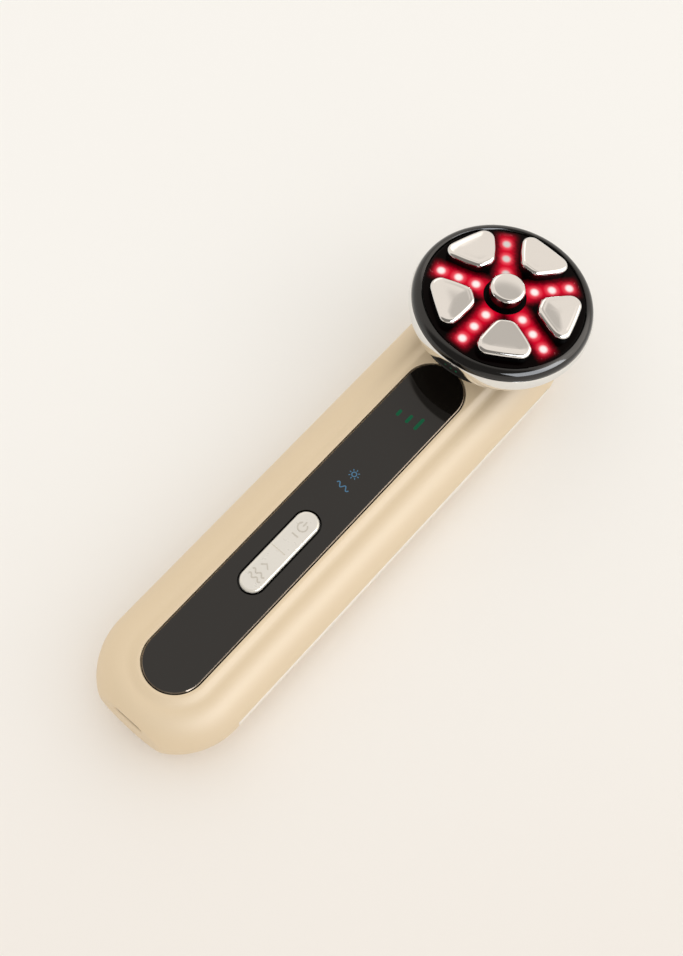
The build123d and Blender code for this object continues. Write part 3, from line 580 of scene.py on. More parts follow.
# Satin plated ABS: metal with a soft highlight, fine lines along the strip.
silver = surface(
    "satin_silver_plating", "#FBF9F5", 0.16, grain=0.6, relief=0.002, shade=0.02, gloss=0.05,
    stretch=(1, 0.08, 1), Metallic=1.0,
)
strip_face = []
for step in range(strip_rails + 1):
    height = strip_low + (strip_high - strip_low) * step / strip_rails
    reach = lower_reach(height) if height < parting else upper_reach(height)
    strip_face.append((reach + strip_proud - (strip_edge if step in (0, strip_rails) else 0), height))
strip_back = [(across - strip_thickness + strip_play, height) for across, height in reversed(strip_face)]
strip_turn = degrees(asin((strip_end - run) / half_width))
strip_places = [(strip_start / run, 0, False)]
strip_places += [(1, strip_turn * step / strip_end_steps, False) for step in range(strip_end_steps + 1)]
strip_rows = swept(rails(strip_face + strip_back), strip_places)
for way, name in ((1, "side_strip_right"), (-1, "side_strip_left")):
    mirrored = [[(way * x, y, z) for x, y, z in row] for row in strip_rows]
    piece(name, skin(mirrored, wrap=False), silver, "plated_silver", [name])

# ---------------------------------------------------------------- main board
# Green glass-epoxy board with its controller, charger chip, ribbon socket and charging socket on top, and
# the high-frequency coil below. Four screws hold it to the front shell.
# Solder mask: a deep glossy green over the weave.
board_green = surface("solder_mask_green", "#1E5B3A", 0.3, 3.0, 0.01, 0.15, 0.06)
# Epoxy package: a fine matt black.
chip_black = surface("epoxy_chip_package", "#202022", 0.5, 0.3, 0.004)
# Ferrite: dull dark grey, like fine stone.
ferrite = surface("ferrite_core", "#3B3A3D", 0.65, 0.4, 0.01)
# Enamelled wire: turns that lie side by side, 0.35 mm each, and shine like copper.
copper = surface("enamelled_copper", "#B4683A", 0.25, 0.35, 0.06, 0.1, 0.05, (0.02, 0.02, 1), Metallic=1.0)
# Zinc plate: a grey metal with a soft glint.
steel = surface("zinc_plated_steel", "#B9BBBD", 0.3, 0.5, 0.004, 0.03, 0.06, Metallic=1.0)
dress(board_green, "main_board", "led_board")
dress(chip_black, "controller_chip", "charger_chip")
dress(ferrite, "rf_coil_core")
dress(copper, "rf_coil_winding")
dress(steel, "board_screws", "case_screws", "head_screws", "electrode_screws")
dress(nylon, "ribbon_sockets")

# ---------------------------------------------------------------- charging socket
# Drawn stainless shell of the charging socket, soldered to the board behind the port in the butt,
# with a black moulded tongue in its middle.
# Drawn stainless steel: bright, with faint lines from the die.
socket_steel = surface("stainless_socket_shell", "#A9ABAE", 0.25, 0.5, 0.002, 0.03, 0.05, Metallic=1.0)
# Liquid-crystal polymer: a plain black with a low sheen.
tongue_black = surface("lcp_tongue_black", "#161617", 0.4, 0.4, 0.004)
dress(socket_steel, "charging_socket")
dress(tongue_black, "socket_tongue")

# ---------------------------------------------------------------- switches
# Two tact switches stand on the board under the ends of the key. Each is a black nylon case with a
# plunger that the key pushes down on a metal dome.
# Glass-filled nylon: black and slightly rough.
switch_black = surface("switch_case_black", "#242426", 0.5, 0.4, 0.005)
dress(switch_black, "switch_cases", "switch_plunger_lower", "switch_plunger_upper")

# ---------------------------------------------------------------- indicators
# White polycarbonate holder that keeps the indicator lights apart, with a tinted light pipe in each of its
# wells. The lights are white packages soldered to the board under the pipes.
# Polycarbonate: a plain opaque white.
holder_white = surface("polycarbonate_white", "#EFEFEA", 0.45, 0.5, 0.004)
# Tinted polycarbonate pipes: glossy, and some light passes through them.
pipe_green = surface("light_pipe_green", "#2F8F5F", 0.25, 0.8, 0.004, Transmission_Weight=0.3)
pipe_blue = surface("light_pipe_blue", "#5FA4CC", 0.25, 0.8, 0.004, Transmission_Weight=0.3)
# Light packages: creamy white with a low sheen.
led_white = surface("led_package_white", "#F2F0E4", 0.4, 0.4, 0.004)
dress(holder_white, "light_holder")
dress(pipe_green, "level_light_pipes")
dress(pipe_blue, "mode_light_pipes")
dress(led_white, "level_leds", "mode_leds", "face_leds")

# ---------------------------------------------------------------- key frame and pad
# Grey frame under the panel that holds the key's two pivot pins, and the silicone pad that seals it
# and passes the key's push on to the switches.
# Moulded ABS: an even mid grey.
frame_grey = surface("abs_grey_moulded", "#8D8F92", 0.5, 0.4, 0.005)
# Silicone rubber: pale grey and dull.
silicone = surface("silicone_grey_seal", "#B8B8B4", 0.6, 0.5, 0.006)
dress(frame_grey, "key_frame")
dress(silicone, "key_pad")

# ---------------------------------------------------------------- rocker key
# Long round-ended key moulded in pearl ABS, which rocks on two pins about its middle. A groove parts
# its two halves, and each half carries shallow raised signs. Below the panel's face it is painted
# black, as painted shade in the gap round it.
key_middle, key_length, key_width = 36.9, 26.2, 6.5
key_top, key_axis = 23.3, 20.2
key_side, key_sides = key_width / 2, 40
key_bevel = 0.75
bevel_foot = key_top - key_bevel
key_flange, key_flange_half = 0.75, 0.4
key_ends = (key_middle - key_length / 2 + key_side, key_middle + key_length / 2 - key_side)
divider_half, divider_floor, divider_roof, divider_ends = 0.15, 23.12, 24.0, (-3.0, 1.7)
sign_low, sign_high, sign_width = key_top - 0.05, key_top + 0.05, 0.36
# The key's edges are painted a paler pearl, as a painted highlight where the bevel catches the light,
# and given a closer polish than its top.
key_edge_highlight = surface(
    "painted_highlight_key_edge", "#E4DED2", 0.22, grain=1.1, relief=0.0005, Metallic=0.15, Coat_Weight=0.6,
    Coat_Roughness=0.08,
)
# The tops of the raised signs are a greyer pearl.
pearl_sign = surface(
    "grey_pearl_sign", "#C4BEB3", 0.3, grain=0.6, relief=0.001, shade=0.12, gloss=0.1, Metallic=0.3,
)
# Pearl ABS: a warm silvery white whose flake gives a silky sheen and faint clouds.
pearl = surface(
    "pearl_abs", "#DCD7CE", 0.3, grain=1.4, relief=0.0001, shade=0.06, gloss=0.08, Metallic=0.15,
    Coat_Weight=0.4, Coat_Roughness=0.1,
)
# Painted shade: black on the key below the panel's face and on the bowl's underside, where shade falls.
# Dark, with a low sheen.
shade_black = surface("painted_shade_black_abs", "#0B0A09", 0.38, 0.5, 0.003, 0.05, 0.05)


def slot_stations(steps):
    """Places round a plate with two round ends."""
    made = [(0, 0, False), (1, 0, False)]
    made += [(1, 180 * step / steps, False) for step in range(1, steps + 1)]
    return made + [(0, 180, False)] + [(0, 180 + 180 * step / steps, False) for step in range(1, steps)]


def plate(profile, start, end, steps):
    """Round-ended plate along the Y axis from an outline of half-widths and heights."""
    return skin(swept(rails(profile, start, end), slot_stations(steps)), loop=False)


def prism(outline, low, high):
    """Upright prism between two heights."""
    return closed([[(x, y, z) for x, y in outline] for z in (low, high)])


def stroke(points, width, low, high):
    """Raised line of this width through points, with square ends."""
    left, right = [], []
    for index, point in enumerate(points):
        here = Vector(point)
        before = Vector(points[max(0, index - 1)])
        after = Vector(points[min(len(points) - 1, index + 1)])
        way = (after - before).normalized()
        across = Vector((-way.y, way.x)) * width / 2
        left.append(tuple(here + across))
        right.append(tuple(here - across))
    return prism(left + right[::-1], low, high)


def wave(y, swing, steps):
    """Points of a line across the key or the panel that swings twice."""
    return [(-1.9 + 3.8 * step / steps, y + swing * sin(4 * pi * step / steps)) for step in range(steps + 1)]


def joined(meshes):
    """One mesh of several."""
    form = bmesh.new()
    for mesh in meshes:
        form.from_mesh(mesh)
    return baked(form)


def finished(mesh, number, chosen):
    """Gives the faces whose middles are chosen the finish of this number."""
    for face in mesh.polygons:
        if chosen(face.center):
            face.material_index = number
    return mesh


key_profile = [(0, key_axis - key_flange_half), (key_side + key_flange, key_axis - key_flange_half)]
key_profile += [(key_side + key_flange, key_axis + key_flange_half), (key_side, key_axis + key_flange_half)]
key_profile += [(key_side, bevel_foot - 0.3), (key_side, bevel_foot - 0.1)]
key_profile += arc(key_side - key_bevel, bevel_foot, key_bevel, 0, 90, 9) + [(0, key_top)]
key = plate(key_profile, *key_ends, key_sides)
divider = [(-divider_half, divider_floor), (divider_half, divider_floor)]
divider += [(divider_half, divider_roof), (-divider_half, divider_roof)]
key = combined(key, closed([[(x, key_middle + y, z) for y, z in divider] for x in divider_ends]))
# Painted highlight: the bevel takes the paler pearl.
key = finished(key, 1, lambda at: bevel_foot < at.z < key_top - 0.012)
# The key's lower part, below its bevel, takes the painted shade black.
key = finished(key, 3, lambda at: at.z < bevel_foot - 0.25)
waves = wave(key_middle - 9.2, 0.38, 32)
sign_lines = [
    # A power sign and a bar on the upper half.
    arc(0, key_middle + 8.4, 1.25, 125, 415),
    [(0, key_middle + 8.6), (0, key_middle + 10.1)],
    [(-1.0, key_middle + 5.6), (1.0, key_middle + 5.6)],
    # Two waves and an arrow head on the lower half.
    waves,
    [(x, y + 1.5) for x, y in waves],
    [(-1.1, key_middle - 5.6), (0, key_middle - 4.6), (1.1, key_middle - 5.6)],
]
signs = joined([stroke(line, sign_width, sign_low, sign_high) for line in sign_lines])
signs = finished(signs, 2, lambda at: True)
key_finishes = [pearl, key_edge_highlight, pearl_sign, shade_black]
piece("rocker_key", joined([key, signs]), key_finishes, "key_pearl", ["rocker_key"], body="key")

# ---------------------------------------------------------------- control panel
# Long glossy panel of smoked acrylic, black until a light behind it is lit, stuck in its pocket with
# thin tape. Its edge is cut to a polished chamfer. Three level bars and two mode signs shine through.
panel_half_width, panel_top, panel_bottom, panel_sides = 8.06, 22.5, 21.3, 64
panel_chamfer, opening_edge, key_gap = 0.22, 0.12, 0.5
# Smoked acrylic: a deep warm black with a clear gloss.
panel_black = surface("smoked_acrylic", "#100D0A", 0.05, 4.0, 0.0005, 0.05, 0.01)
# Flame-polished chamfer, drawn as a warm metal for a painted highlight: a thin bright line along the
# panel's edge.
chamfer_highlight = surface(
    "painted_highlight_panel_chamfer", "#8C8073", 0.12, grain=1.0, relief=0.0005, shade=0.03, gloss=0.02,
    Metallic=0.85,
)
# Polyester tape: matt black, seen only where the panel is lifted.
tape = surface("polyester_tape_black", "#141414", 0.7, 0.4, 0.004)
opening = key_side + key_gap
opening_side = [(opening, panel_bottom), (opening, panel_top - opening_edge)]
opening_side += [(opening + opening_edge / 3, panel_top - opening_edge / 3)]
opening_side += [(opening + opening_edge, panel_top)]
chamfer_reach, chamfer_foot = panel_half_width - panel_chamfer, panel_top - panel_chamfer
panel_side = [(chamfer_reach, panel_top), (panel_half_width, chamfer_foot), (panel_half_width, panel_bottom)]
panel_rails = rails(opening_side, *key_ends) + rails(panel_side, 0, panel_run)
panel = skin(swept(panel_rails, slot_stations(panel_sides)))


def on_chamfer(at):
    """Whether a place is on the chamfer round the panel's edge."""
    reach = hypot(at.x, at.y - min(panel_run, max(0, at.y)))
    return reach > chamfer_reach and chamfer_foot < at.z < panel_top - 0.01


# The chamfer takes the painted highlight.
panel = finished(panel, 1, on_chamfer)
piece("control_panel", panel, [panel_black, chamfer_highlight], "panel_black", ["control_panel"])
dress(tape, "panel_tape")

# ---------------------------------------------------------------- lit marks of the panel
# The light of the pipes comes through clear places left in the panel's smoke coat: three level
# bars in green, and a wave and a lamp in blue. Each is a film a few hundredths of a millimetre thick.
bar_places, bar_lengths, bar_start, bar_width = (-2.75, 0.3, 3.15), (2.1, 2.8, 4.0), 84.4, 0.9
mark_low, mark_high, mark_width = panel_top - 0.05, panel_top + 0.015, 0.3
lamp_middle, lamp_radius, ray_ends, ray_width = 64.8, 0.62, (1.0, 1.45), 0.26
# Dim green light under a glossy black surface.
bar_green = surface(
    "lit_green_mark", "#03130C", 0.1, grain=0.8, relief=0.0005, shade=0.2, Specular_IOR_Level=0.1,
    Emission_Color=linear("#0A5033"), Emission_Strength=1.0,
)
# Muted blue light under a glossy black surface.
mark_blue = surface(
    "lit_blue_mark", "#0A1218", 0.1, grain=0.8, relief=0.0005, shade=0.2, Specular_IOR_Level=0.2,
    Emission_Color=linear("#48708C"), Emission_Strength=1.0,
)
bar_profile = [(0, mark_low), (bar_width / 2, mark_low), (bar_width / 2, mark_high), (0, mark_high)]
bars = []
for x, length in zip(bar_places, bar_lengths):
    bar = plate(bar_profile, bar_start + bar_width / 2, bar_start + length - bar_width / 2, 8)
    bars.append(shifted(bar, x))
piece("level_marks", joined(bars), bar_green, "pipe_green")
marks = [stroke(wave(60.4, 0.52, 40), mark_width, mark_low, mark_high)]
marks += [stroke(arc(0, lamp_middle, lamp_radius, 0, 360, 24), mark_width, mark_low, mark_high)]
for turn in range(0, 360, 45):
    x, y = cos(radians(turn)), sin(radians(turn))
    ray = [(x * reach, lamp_middle + y * reach) for reach in ray_ends]
    marks.append(stroke(ray, ray_width, mark_low, mark_high))
piece("mode_marks", joined(marks), mark_blue, "pipe_blue")

# ---------------------------------------------------------------- bowl of the head
# Shallow bowl of bright plated ABS that carries the head's parts. Three screws through the neck's
# roof hold it, and a silicone gasket in its rim keeps water out. Its underside is painted black, as
# painted shade under the head.
bowl_radius, bowl_corner, bowl_wall, rim_gap = 23.9, 6.0, 1.6, 0.1
gasket_out, gasket_in, gasket_depth = bowl_radius - 0.5, bowl_radius - 1.2, 0.4
rim_edge = ((0.0, 0.75), (0.24, 0.08), (0.3, 0.0))  # in from the bowl's side, and down from its rim
underside_shade_height = -5.45
ring_sides = 160
# Bright plating: a mirror, slightly warm, with very little scatter.
chrome = surface("bright_plated_abs", "#E8E7E4", 0.07, 2.0, 0.0005, 0.01, 0.02, Metallic=1.0)
turn_reach, turn_height = bowl_radius - bowl_corner, bowl_corner - bowl_depth
groove_floor = -rim_gap - gasket_depth
bowl_profile = [(wire_hole, -bowl_depth), (turn_reach, -bowl_depth)]
bowl_profile += arc(turn_reach, turn_height, bowl_corner, -84, 0, 14)
bowl_profile += [(bowl_radius - inset, -rim_gap - drop) for inset, drop in rim_edge]
bowl_profile += [(gasket_out, -rim_gap), (gasket_out, groove_floor), (gasket_in, groove_floor)]
bowl_profile += [(gasket_in, -rim_gap), (bowl_radius - bowl_wall, -rim_gap)]
bowl_profile += arc(turn_reach, turn_height, bowl_corner - bowl_wall, 0, -90, 10)
bowl_profile += [(wire_hole, -bowl_depth + bowl_wall)]


def under_bowl_shade(at):
    """Whether a place is on the bowl's underside, and not in its hollow, where painted shade black goes."""
    from_turn = hypot(hypot(at.x, at.y) - turn_reach, at.z - turn_height)
    return at.z < underside_shade_height and from_turn > bowl_corner - bowl_wall / 2


# The bowl's underside is painted black, as painted shade under the head.
bowl = finished(turned(bowl_profile, ring_sides), 1, under_bowl_shade)
piece("head_bowl", bowl, [chrome, shade_black], "plated_silver", ["head_bowl"], head_place)
dress(silicone, "bowl_gasket")

# ---------------------------------------------------------------- inside the head
# Round board with the fifteen red lights, the skin temperature sensor on its back, and the amber
# polyimide ribbon that joins it to the main board.
# Polyimide film: a glossy amber.
ribbon_amber = surface("polyimide_ribbon", "#C77A1E", 0.3, 0.8, 0.004)
# Epoxy bead: a dark brown drop with a soft gloss.
sensor_bead = surface("epoxy_sensor_bead", "#2A2320", 0.35, 0.5, 0.004)
dress(ribbon_amber, "head_ribbon")
dress(sensor_bead, "temperature_sensor")

# ---------------------------------------------------------------- bezel
# Glossy black ring, moulded in ABS, that rises from the bowl's rim to a rounded crest and falls
# gently to the face. Its ledge carries the face plate, and its skirt drops into the bowl.
bezel_radius, bezel_crest, bezel_inner = 23.5, 2.6, 20.95
crest_bend = ((bezel_radius, 0.3), (22.9, 1.75), (21.6, bezel_crest - 0.03))  # foot, middle and top
inner_round = ((21.5, 0.0), (21.38, 0.04), (21.24, 0.14), (21.1, 0.32), (21.0, 0.5), (bezel_inner, 0.6))
lens_bottom, face_top = 1.95, 2.75
ledge_radius, ledge_low, ledge_foot = bezel_inner - 0.85, 1.2, 0.4
skirt_radius, skirt_low = 22.2, -2.0
# High-gloss black ABS with a clear polish from its mould.
bezel_black = surface("gloss_black_abs", "#0A0908", 0.08, 3.0, 0.0005, 0.05, 0.02, IOR=1.55)
crest_foot, crest_middle, crest_top = [Vector(point) for point in crest_bend]
bezel_profile = [(bezel_radius - 0.05, -rim_gap), (bezel_radius, -rim_gap + 0.05)]
bezel_profile += bent(crest_foot, 2 * crest_middle - (crest_foot + crest_top) / 2, crest_top)
bezel_profile += [(radius, bezel_crest - drop) for radius, drop in inner_round]
bezel_profile += [(bezel_inner, lens_bottom), (ledge_radius, lens_bottom), (ledge_radius, ledge_low)]
bezel_profile += [(bezel_inner, ledge_foot), (bezel_inner, skirt_low), (skirt_radius, skirt_low)]
bezel_profile += [(skirt_radius, -rim_gap)]
piece("bezel_ring", turned(bezel_profile, ring_sides), bezel_black, "bezel_black", ["bezel_ring"], head_place)

# ---------------------------------------------------------------- face plate and light window
# Black acrylic face with a star-shaped window of red diffusing acrylic moulded into it. The lights
# on the board behind glow through the star between the electrodes.
face_radius, face_sag = bezel_inner - 0.04, 0.58
face_round = ((0.0, 0.2), (0.1, 0.06), (0.3, 0.0))  # in from the face's edge, and down from its top
ring_gap = 1.9  # between the rings of points that let the face be domed
collar_radius, collar_edge, collar_sides = 5.6, 0.08, 96
star_ring, spoke_half_width, spoke_reach = 7.2, 2.4, 17.2
spoke_first, petal_first, petal_count = 126.0, 90.0, 5
petal_turn = 360 / petal_count
light_first, light_step, light_shift = 7.95, 4.75, 1.0
# Polished black acrylic, which returns little light.
face_black = surface(
    "polished_black_acrylic", "#060505", 0.08, 3.0, 0.0005, 0.05, 0.02, Specular_IOR_Level=0.05
)


def face_height(radius):
    """Height of the face, which is slightly domed."""
    return face_top - face_sag * (radius / face_radius) ** 2


def domed(mesh):
    """The mesh with its flat top drawn down to the face's dome."""
    for vertex in mesh.vertices:
        if vertex.co.z > lens_bottom + 0.1:
            vertex.co.z += face_height(hypot(vertex.co.x, vertex.co.y)) - face_top
    return mesh


def star_outline():
    """Ring with five round-ended spokes, in the head's plan."""
    shift = degrees(asin(spoke_half_width / star_ring))
    outline = []
    for index in range(petal_count):
        axis = spoke_first + petal_turn * index
        out = Vector((cos(radians(axis)), sin(radians(axis))))
        across = Vector((-out.y, out.x))
        outline.append(tuple(out * star_ring * cos(radians(shift)) - across * spoke_half_width))
        for x, y in arc(spoke_reach, 0, spoke_half_width, -90, 90, 16):
            outline.append(tuple(out * x + across * y))
        outline += arc(0, 0, star_ring, axis + shift, axis + petal_turn - shift, 8)[:-1]
    return outline


star = prism(star_outline(), lens_bottom - cut_past, face_top + cut_past)
rings = [(face_radius - ring_gap * step, face_top) for step in range(1, 10)]
plate_profile = [(0, lens_bottom), (face_radius, lens_bottom)]
plate_profile += [(face_radius - inset, face_top - drop) for inset, drop in face_round]
plate_profile += rings + [(0, face_top)]
face_plate = combined(turned(plate_profile, ring_sides, False), star)
window_profile = [(collar_radius, lens_bottom), (face_radius, lens_bottom), (face_radius, face_top)]
window_profile += rings[:8] + [(collar_radius, face_top)]
light_window = combined(turned(window_profile, ring_sides), star, "INTERSECT")

glow = material("red_diffusing_acrylic", "#050101", 0.1, Specular_IOR_Level=0.05)
glowing = glow.node_tree
# Millimetres in the head's own frame, from its middle.
head_spot = add(
    glowing,
    "ShaderNodeMapping",
    {
        "Vector": add(glowing, "ShaderNodeTexCoord").outputs["Object"],
        "Location": head_place.translation,
        "Rotation": (radians(-head_tilt), 0, 0),
        "Scale": (0.001, 0.001, 0.001),
    },
    vector_type="TEXTURE",
)
head_axes = add(glowing, "ShaderNodeSeparateXYZ", {"Vector": head_spot}).outputs
# Every spoke is folded on to one. The steps find how far along it and how far beside it a point lies,
# and how far it is from the nearest light. The lights of the first spoke sit a little nearer the middle
# than those of the other four, and the window scatters the light unevenly.
flat_spot = add(glowing, "ShaderNodeCombineXYZ", {"X": head_axes["X"], "Y": head_axes["Y"]})
from_middle = add(glowing, "ShaderNodeVectorMath", {0: flat_spot}, operation="LENGTH")
grain_size = {"Vector": head_spot, "Scale": 1.3, "Detail": 4.0, "Roughness": 0.7}
grit = add(glowing, "ShaderNodeTexNoise", grain_size).outputs["Fac"]
half_turn = radians(petal_turn / 2)
sums = {"x": head_axes["X"], "y": head_axes["Y"], "from_middle": from_middle, "grit": grit}
for name, operation, *values in (
    ("bearing", "ARCTAN2", "y", "x"),
    ("bearing", "SUBTRACT", "bearing", radians(spoke_first)),
    ("folded", "WRAP", "bearing", half_turn, -half_turn),
    ("ahead", "COSINE", "folded"),
    ("aside", "SINE", "folded"),
    ("along", "MULTIPLY", "from_middle", "ahead"),
    ("beside", "MULTIPLY", "from_middle", "aside"),
    ("beside", "ABSOLUTE", "beside"),
    ("first_spoke", "WRAP", "bearing", pi, -pi),
    ("first_spoke", "ABSOLUTE", "first_spoke"),
    ("first_spoke", "LESS_THAN", "first_spoke", half_turn),
    ("light_start", "MULTIPLY", "first_spoke", light_shift),
    ("light_start", "SUBTRACT", light_first, "light_start"),
    ("light_along", "SUBTRACT", "along", "light_start"),
    ("light_along", "WRAP", "light_along", light_step / 2, -light_step / 2),
    ("ragged", "SUBTRACT", "grit", 0.5),
    ("ragged", "MULTIPLY", "ragged", 1.4),
):
    terms = {index: sums.get(value, value) for index, value in enumerate(values)}
    sums[name] = add(glowing, "ShaderNodeMath", terms, operation=operation)
light_spot = add(glowing, "ShaderNodeCombineXYZ", {"X": sums["light_along"], "Y": sums["beside"]})
sums["from_light"] = add(glowing, "ShaderNodeVectorMath", {0: light_spot}, operation="LENGTH")
# Each fade is 1 near and 0 far. The band and the deep red widen towards the middle of the star.
fades = {}
for name, measure, near, far in (
    ("flare", "along", 6.0, 11.0),
    ("band_end", "along", 18.4, 20.9),
    ("deep_end", "along", 17.8, 20.4),
    ("core_end", "along", 18.9, 19.6),
    ("spark_end", "along", 20.4, 17.6),
    ("halo", "from_light", 0.9, 2.5),
    ("core", "from_light", 0.5, 1.45),
    ("spark", "grit", 0.66, 0.58),
    ("band", "widened", 1.6, 3.9),
    ("deep", "widened", 0.6, 2.8),
):
    if measure == "widened":
        wide = add(glowing, "ShaderNodeMath", {0: fades["flare"], 1: 0.6}, operation="MULTIPLY")
        wide = add(glowing, "ShaderNodeMath", {0: sums["beside"], 1: wide}, operation="SUBTRACT")
        sums[measure] = add(glowing, "ShaderNodeMath", {0: wide, 1: sums["ragged"]}, operation="ADD")
    fade_limits = {"From Min": near, "From Max": far, "To Min": 1.0, "To Max": 0.0}
    fading = {"Value": sums[measure], **fade_limits}
    fades[name] = add(glowing, "ShaderNodeMapRange", fading, interpolation_type="SMOOTHSTEP")
for name, other in (
    ("band", "band_end"),
    ("deep", "deep_end"),
    ("halo", "deep"),
    ("core", "core_end"),
    ("spark_end", "band"),
    ("spark", "spark_end"),
):
    fades[name] = add(glowing, "ShaderNodeMath", {0: fades[name], 1: fades[other]}, operation="MULTIPLY")
# Layers of light, from the deep red of the window to the white of the lights themselves.
white, dimmer_white = linear("#FFF4F0"), linear("#D8D2CC")
hot = {0: sums["first_spoke"], 6: white, 7: dimmer_white}
hot = add(glowing, "ShaderNodeMix", hot, data_type="RGBA")
lit = linear("#000000")
for name, strength, colour in (
    ("band", 1.0, linear("#6E0012")),
    ("deep", 0.9, linear("#DC0028")),
    ("halo", 0.75, linear("#FF6070")),
    ("core", 1.0, hot),
    ("spark", 0.5, linear("#FF8C92")),
):
    part = add(glowing, "ShaderNodeMath", {0: fades[name], 1: strength}, operation="MULTIPLY")
    lit = add(glowing, "ShaderNodeMix", {0: part, 6: lit, 7: colour}, data_type="RGBA")
glow_inputs = glowing.nodes["Principled BSDF"].inputs
glowing.links.new(lit.outputs[2], glow_inputs["Emission Color"])
glow_inputs["Emission Strength"].default_value = 1.0
# Light strays a little way into the black of the plate beside the star, so the plate shares it.
piece("face_plate", domed(face_plate), glow, "bezel_black", ["face_plate"], head_place)
piece("light_window", domed(light_window), glow, "window_red", ["light_window"], head_place)
collar_profile = [(0, lens_bottom), (collar_radius, lens_bottom), (collar_radius, face_top - collar_edge)]
collar_profile += [(collar_radius - collar_edge, face_top), (0, face_top)]
collar = domed(turned(collar_profile, collar_sides, False))
piece("centre_collar", collar, face_black, "bezel_black", ["centre_collar"], head_place)

# ---------------------------------------------------------------- electrodes
# Five rounded triangles and one round button of zinc, plated with polished nickel. A stem on the back
# of each goes through the face to the board, where a screw holds it and brings its current.
petal_tip, petal_outer, petal_half_width, petal_middle = 8.78, 18.95, 6.85, Vector((0, 14.2))
petal_corner, petal_tip_width, petal_bow, petal_tip_bow = 2.7, 1.7, 0.12, 0.02
petal_top, petal_edge, petal_lean = 6.0, 1.05, radians(4.5)
petal_bare, petal_crown = -0.3, 0.16
edge_steps = 8
button_radius, button_top, button_crown, button_sides = 4.6, 7.0, 0.1, 96
crown_shares = (0.9, 0.75, 0.6, 0.45, 0.3, 0.15, 0.0)
# Painted shade: black round each electrode's wall, all but its rim and face, where the walls lie dark.
electrode_wall_shade = surface(
    "painted_shade_electrode_wall", "#070606", 0.12, 1.0, 0.001, 0.05, 0.03, Specular_IOR_Level=0.35,
)
# Polished nickel plate: a slightly warm mirror with fine polishing marks.
nickel = surface("polished_nickel_plate", "#E3E1DE", 0.08, 1.5, 0.001, 0.02, 0.03, Metallic=1.0)


def bowed(corners, radius, bows, steps=12, corner_steps=10):
    """Points and outward directions round a form whose corners are rounded and whose sides bow out."""
    made = []
    centres, bends = [], []
    for index, corner in enumerate(corners):
        after = corners[(index + 1) % len(corners)]
        side = after - corner
        bend = (side.length**2 / 4 + bows[index] ** 2) / (2 * bows[index])
        outward = Vector((side.y, -side.x)).normalized()
        centres.append((corner + after) / 2 - outward * (bend - bows[index]))
        bends.append(bend)
    for index, corner in enumerate(corners):
        after = corners[(index + 1) % len(corners)]
        here, following = centres[index], centres[(index + 1) % len(corners)]
        for centre, start, end, reach, count in (
            (here, corner - here, after - here, bends[index] + radius, steps),
            (after, after - here, after - following, radius, corner_steps),
        ):
            first = atan2(start.y, start.x)
            turn = (atan2(end.y, end.x) - first + pi) % (2 * pi) - pi
            for step in range(count):
                angle = first + turn * step / count
                way = Vector((cos(angle), sin(angle)))
                made.append((centre + way * reach, way))
    return made


def petal_height(y, drop):
    """Height of the petal's face, less a drop. It leans outwards, as the head's face is domed."""
    return petal_top - (y - petal_tip) * tan(petal_lean) - drop


def petal_reach(at):
    """How far out along its own petal a point lies."""
    turn = (degrees(atan2(at.y, at.x)) - petal_first + petal_turn / 2) % petal_turn - petal_turn / 2
    return hypot(at.x, at.y) * cos(radians(turn))


def shade_painted(mesh, height):
    """Painted shade black on the wall below this height over the mesh's place."""
    return finished(mesh, 1, lambda at: at.z < height(at) - 0.01)


tip_x, tip_y = petal_tip_width / 2, petal_tip + petal_corner
outer_x, outer_y = petal_half_width - petal_corner, petal_outer - petal_corner
petal_corners = [Vector((-tip_x, tip_y)), Vector((tip_x, tip_y))]
petal_corners += [Vector((outer_x, outer_y)), Vector((-outer_x, outer_y))]
petal_outline = bowed(petal_corners, petal_corner, (petal_tip_bow, petal_bow, petal_bow, petal_bow))
petal_rows = [[(0, petal_middle.y, face_height(petal_middle.y))] * len(petal_outline)]
petal_rows.append([(at.x, at.y, face_height(hypot(at.x, at.y))) for at, way in petal_outline])
for step in range(edge_steps + 1):
    turn = pi / 2 * step / edge_steps
    inset, drop = petal_edge * (1 - cos(turn)), petal_crown + petal_edge * (1 - sin(turn))
    points = [(at - way * inset, at.y) for at, way in petal_outline]
    petal_rows.append([(point.x, point.y, petal_height(y, drop)) for point, y in points])
for share in crown_shares:
    row = []
    for at, way in petal_outline:
        spot = petal_middle + (at - way * petal_edge - petal_middle) * share
        row.append((spot.x, spot.y, petal_height(spot.y, petal_crown * share * share)))
    petal_rows.append(row)
petals = copies(skin(petal_rows, loop=False), petal_count, turn=petal_turn)
bare_rim = petal_edge + petal_bare  # how far below the face's edge the nickel ends
petals = shade_painted(petals, lambda at: petal_height(petal_reach(at), petal_crown + bare_rim))
petal_nodes = [f"petal_electrode_{number}" for number in range(1, petal_count + 1)]
electrode = {"finishes": [nickel, electrode_wall_shade], "slot": "electrode_nickel", "place": head_place, "sharp": 50}
piece("petal_electrodes", petals, nodes=petal_nodes, **electrode)
rim_height = button_top - button_crown - petal_edge
button_profile = [(0, face_top), (button_radius, face_top)]
button_profile += arc(button_radius - petal_edge, rim_height, petal_edge, 0, 90, edge_steps)
for share in crown_shares[2:]:
    button_profile.append((button_radius * share, button_top - button_crown * (1.3 * share) ** 2))
button = turned(button_profile, button_sides, False)
button = shade_painted(button, lambda at: button_top - button_crown - bare_rim)
piece("centre_electrode", button, nodes=["centre_electrode"], **electrode)

# ---------------------------------------------------------------- case screw plugs
# Soft rubber plugs in the cream of the shell, one pressed into each counterbore of the rear shell. They
# hide the case screws and carry a small round on their outer edge.
plug_radius, plug_low, plug_high, plug_edge = 2.28, 0.1, 1.4, 0.2
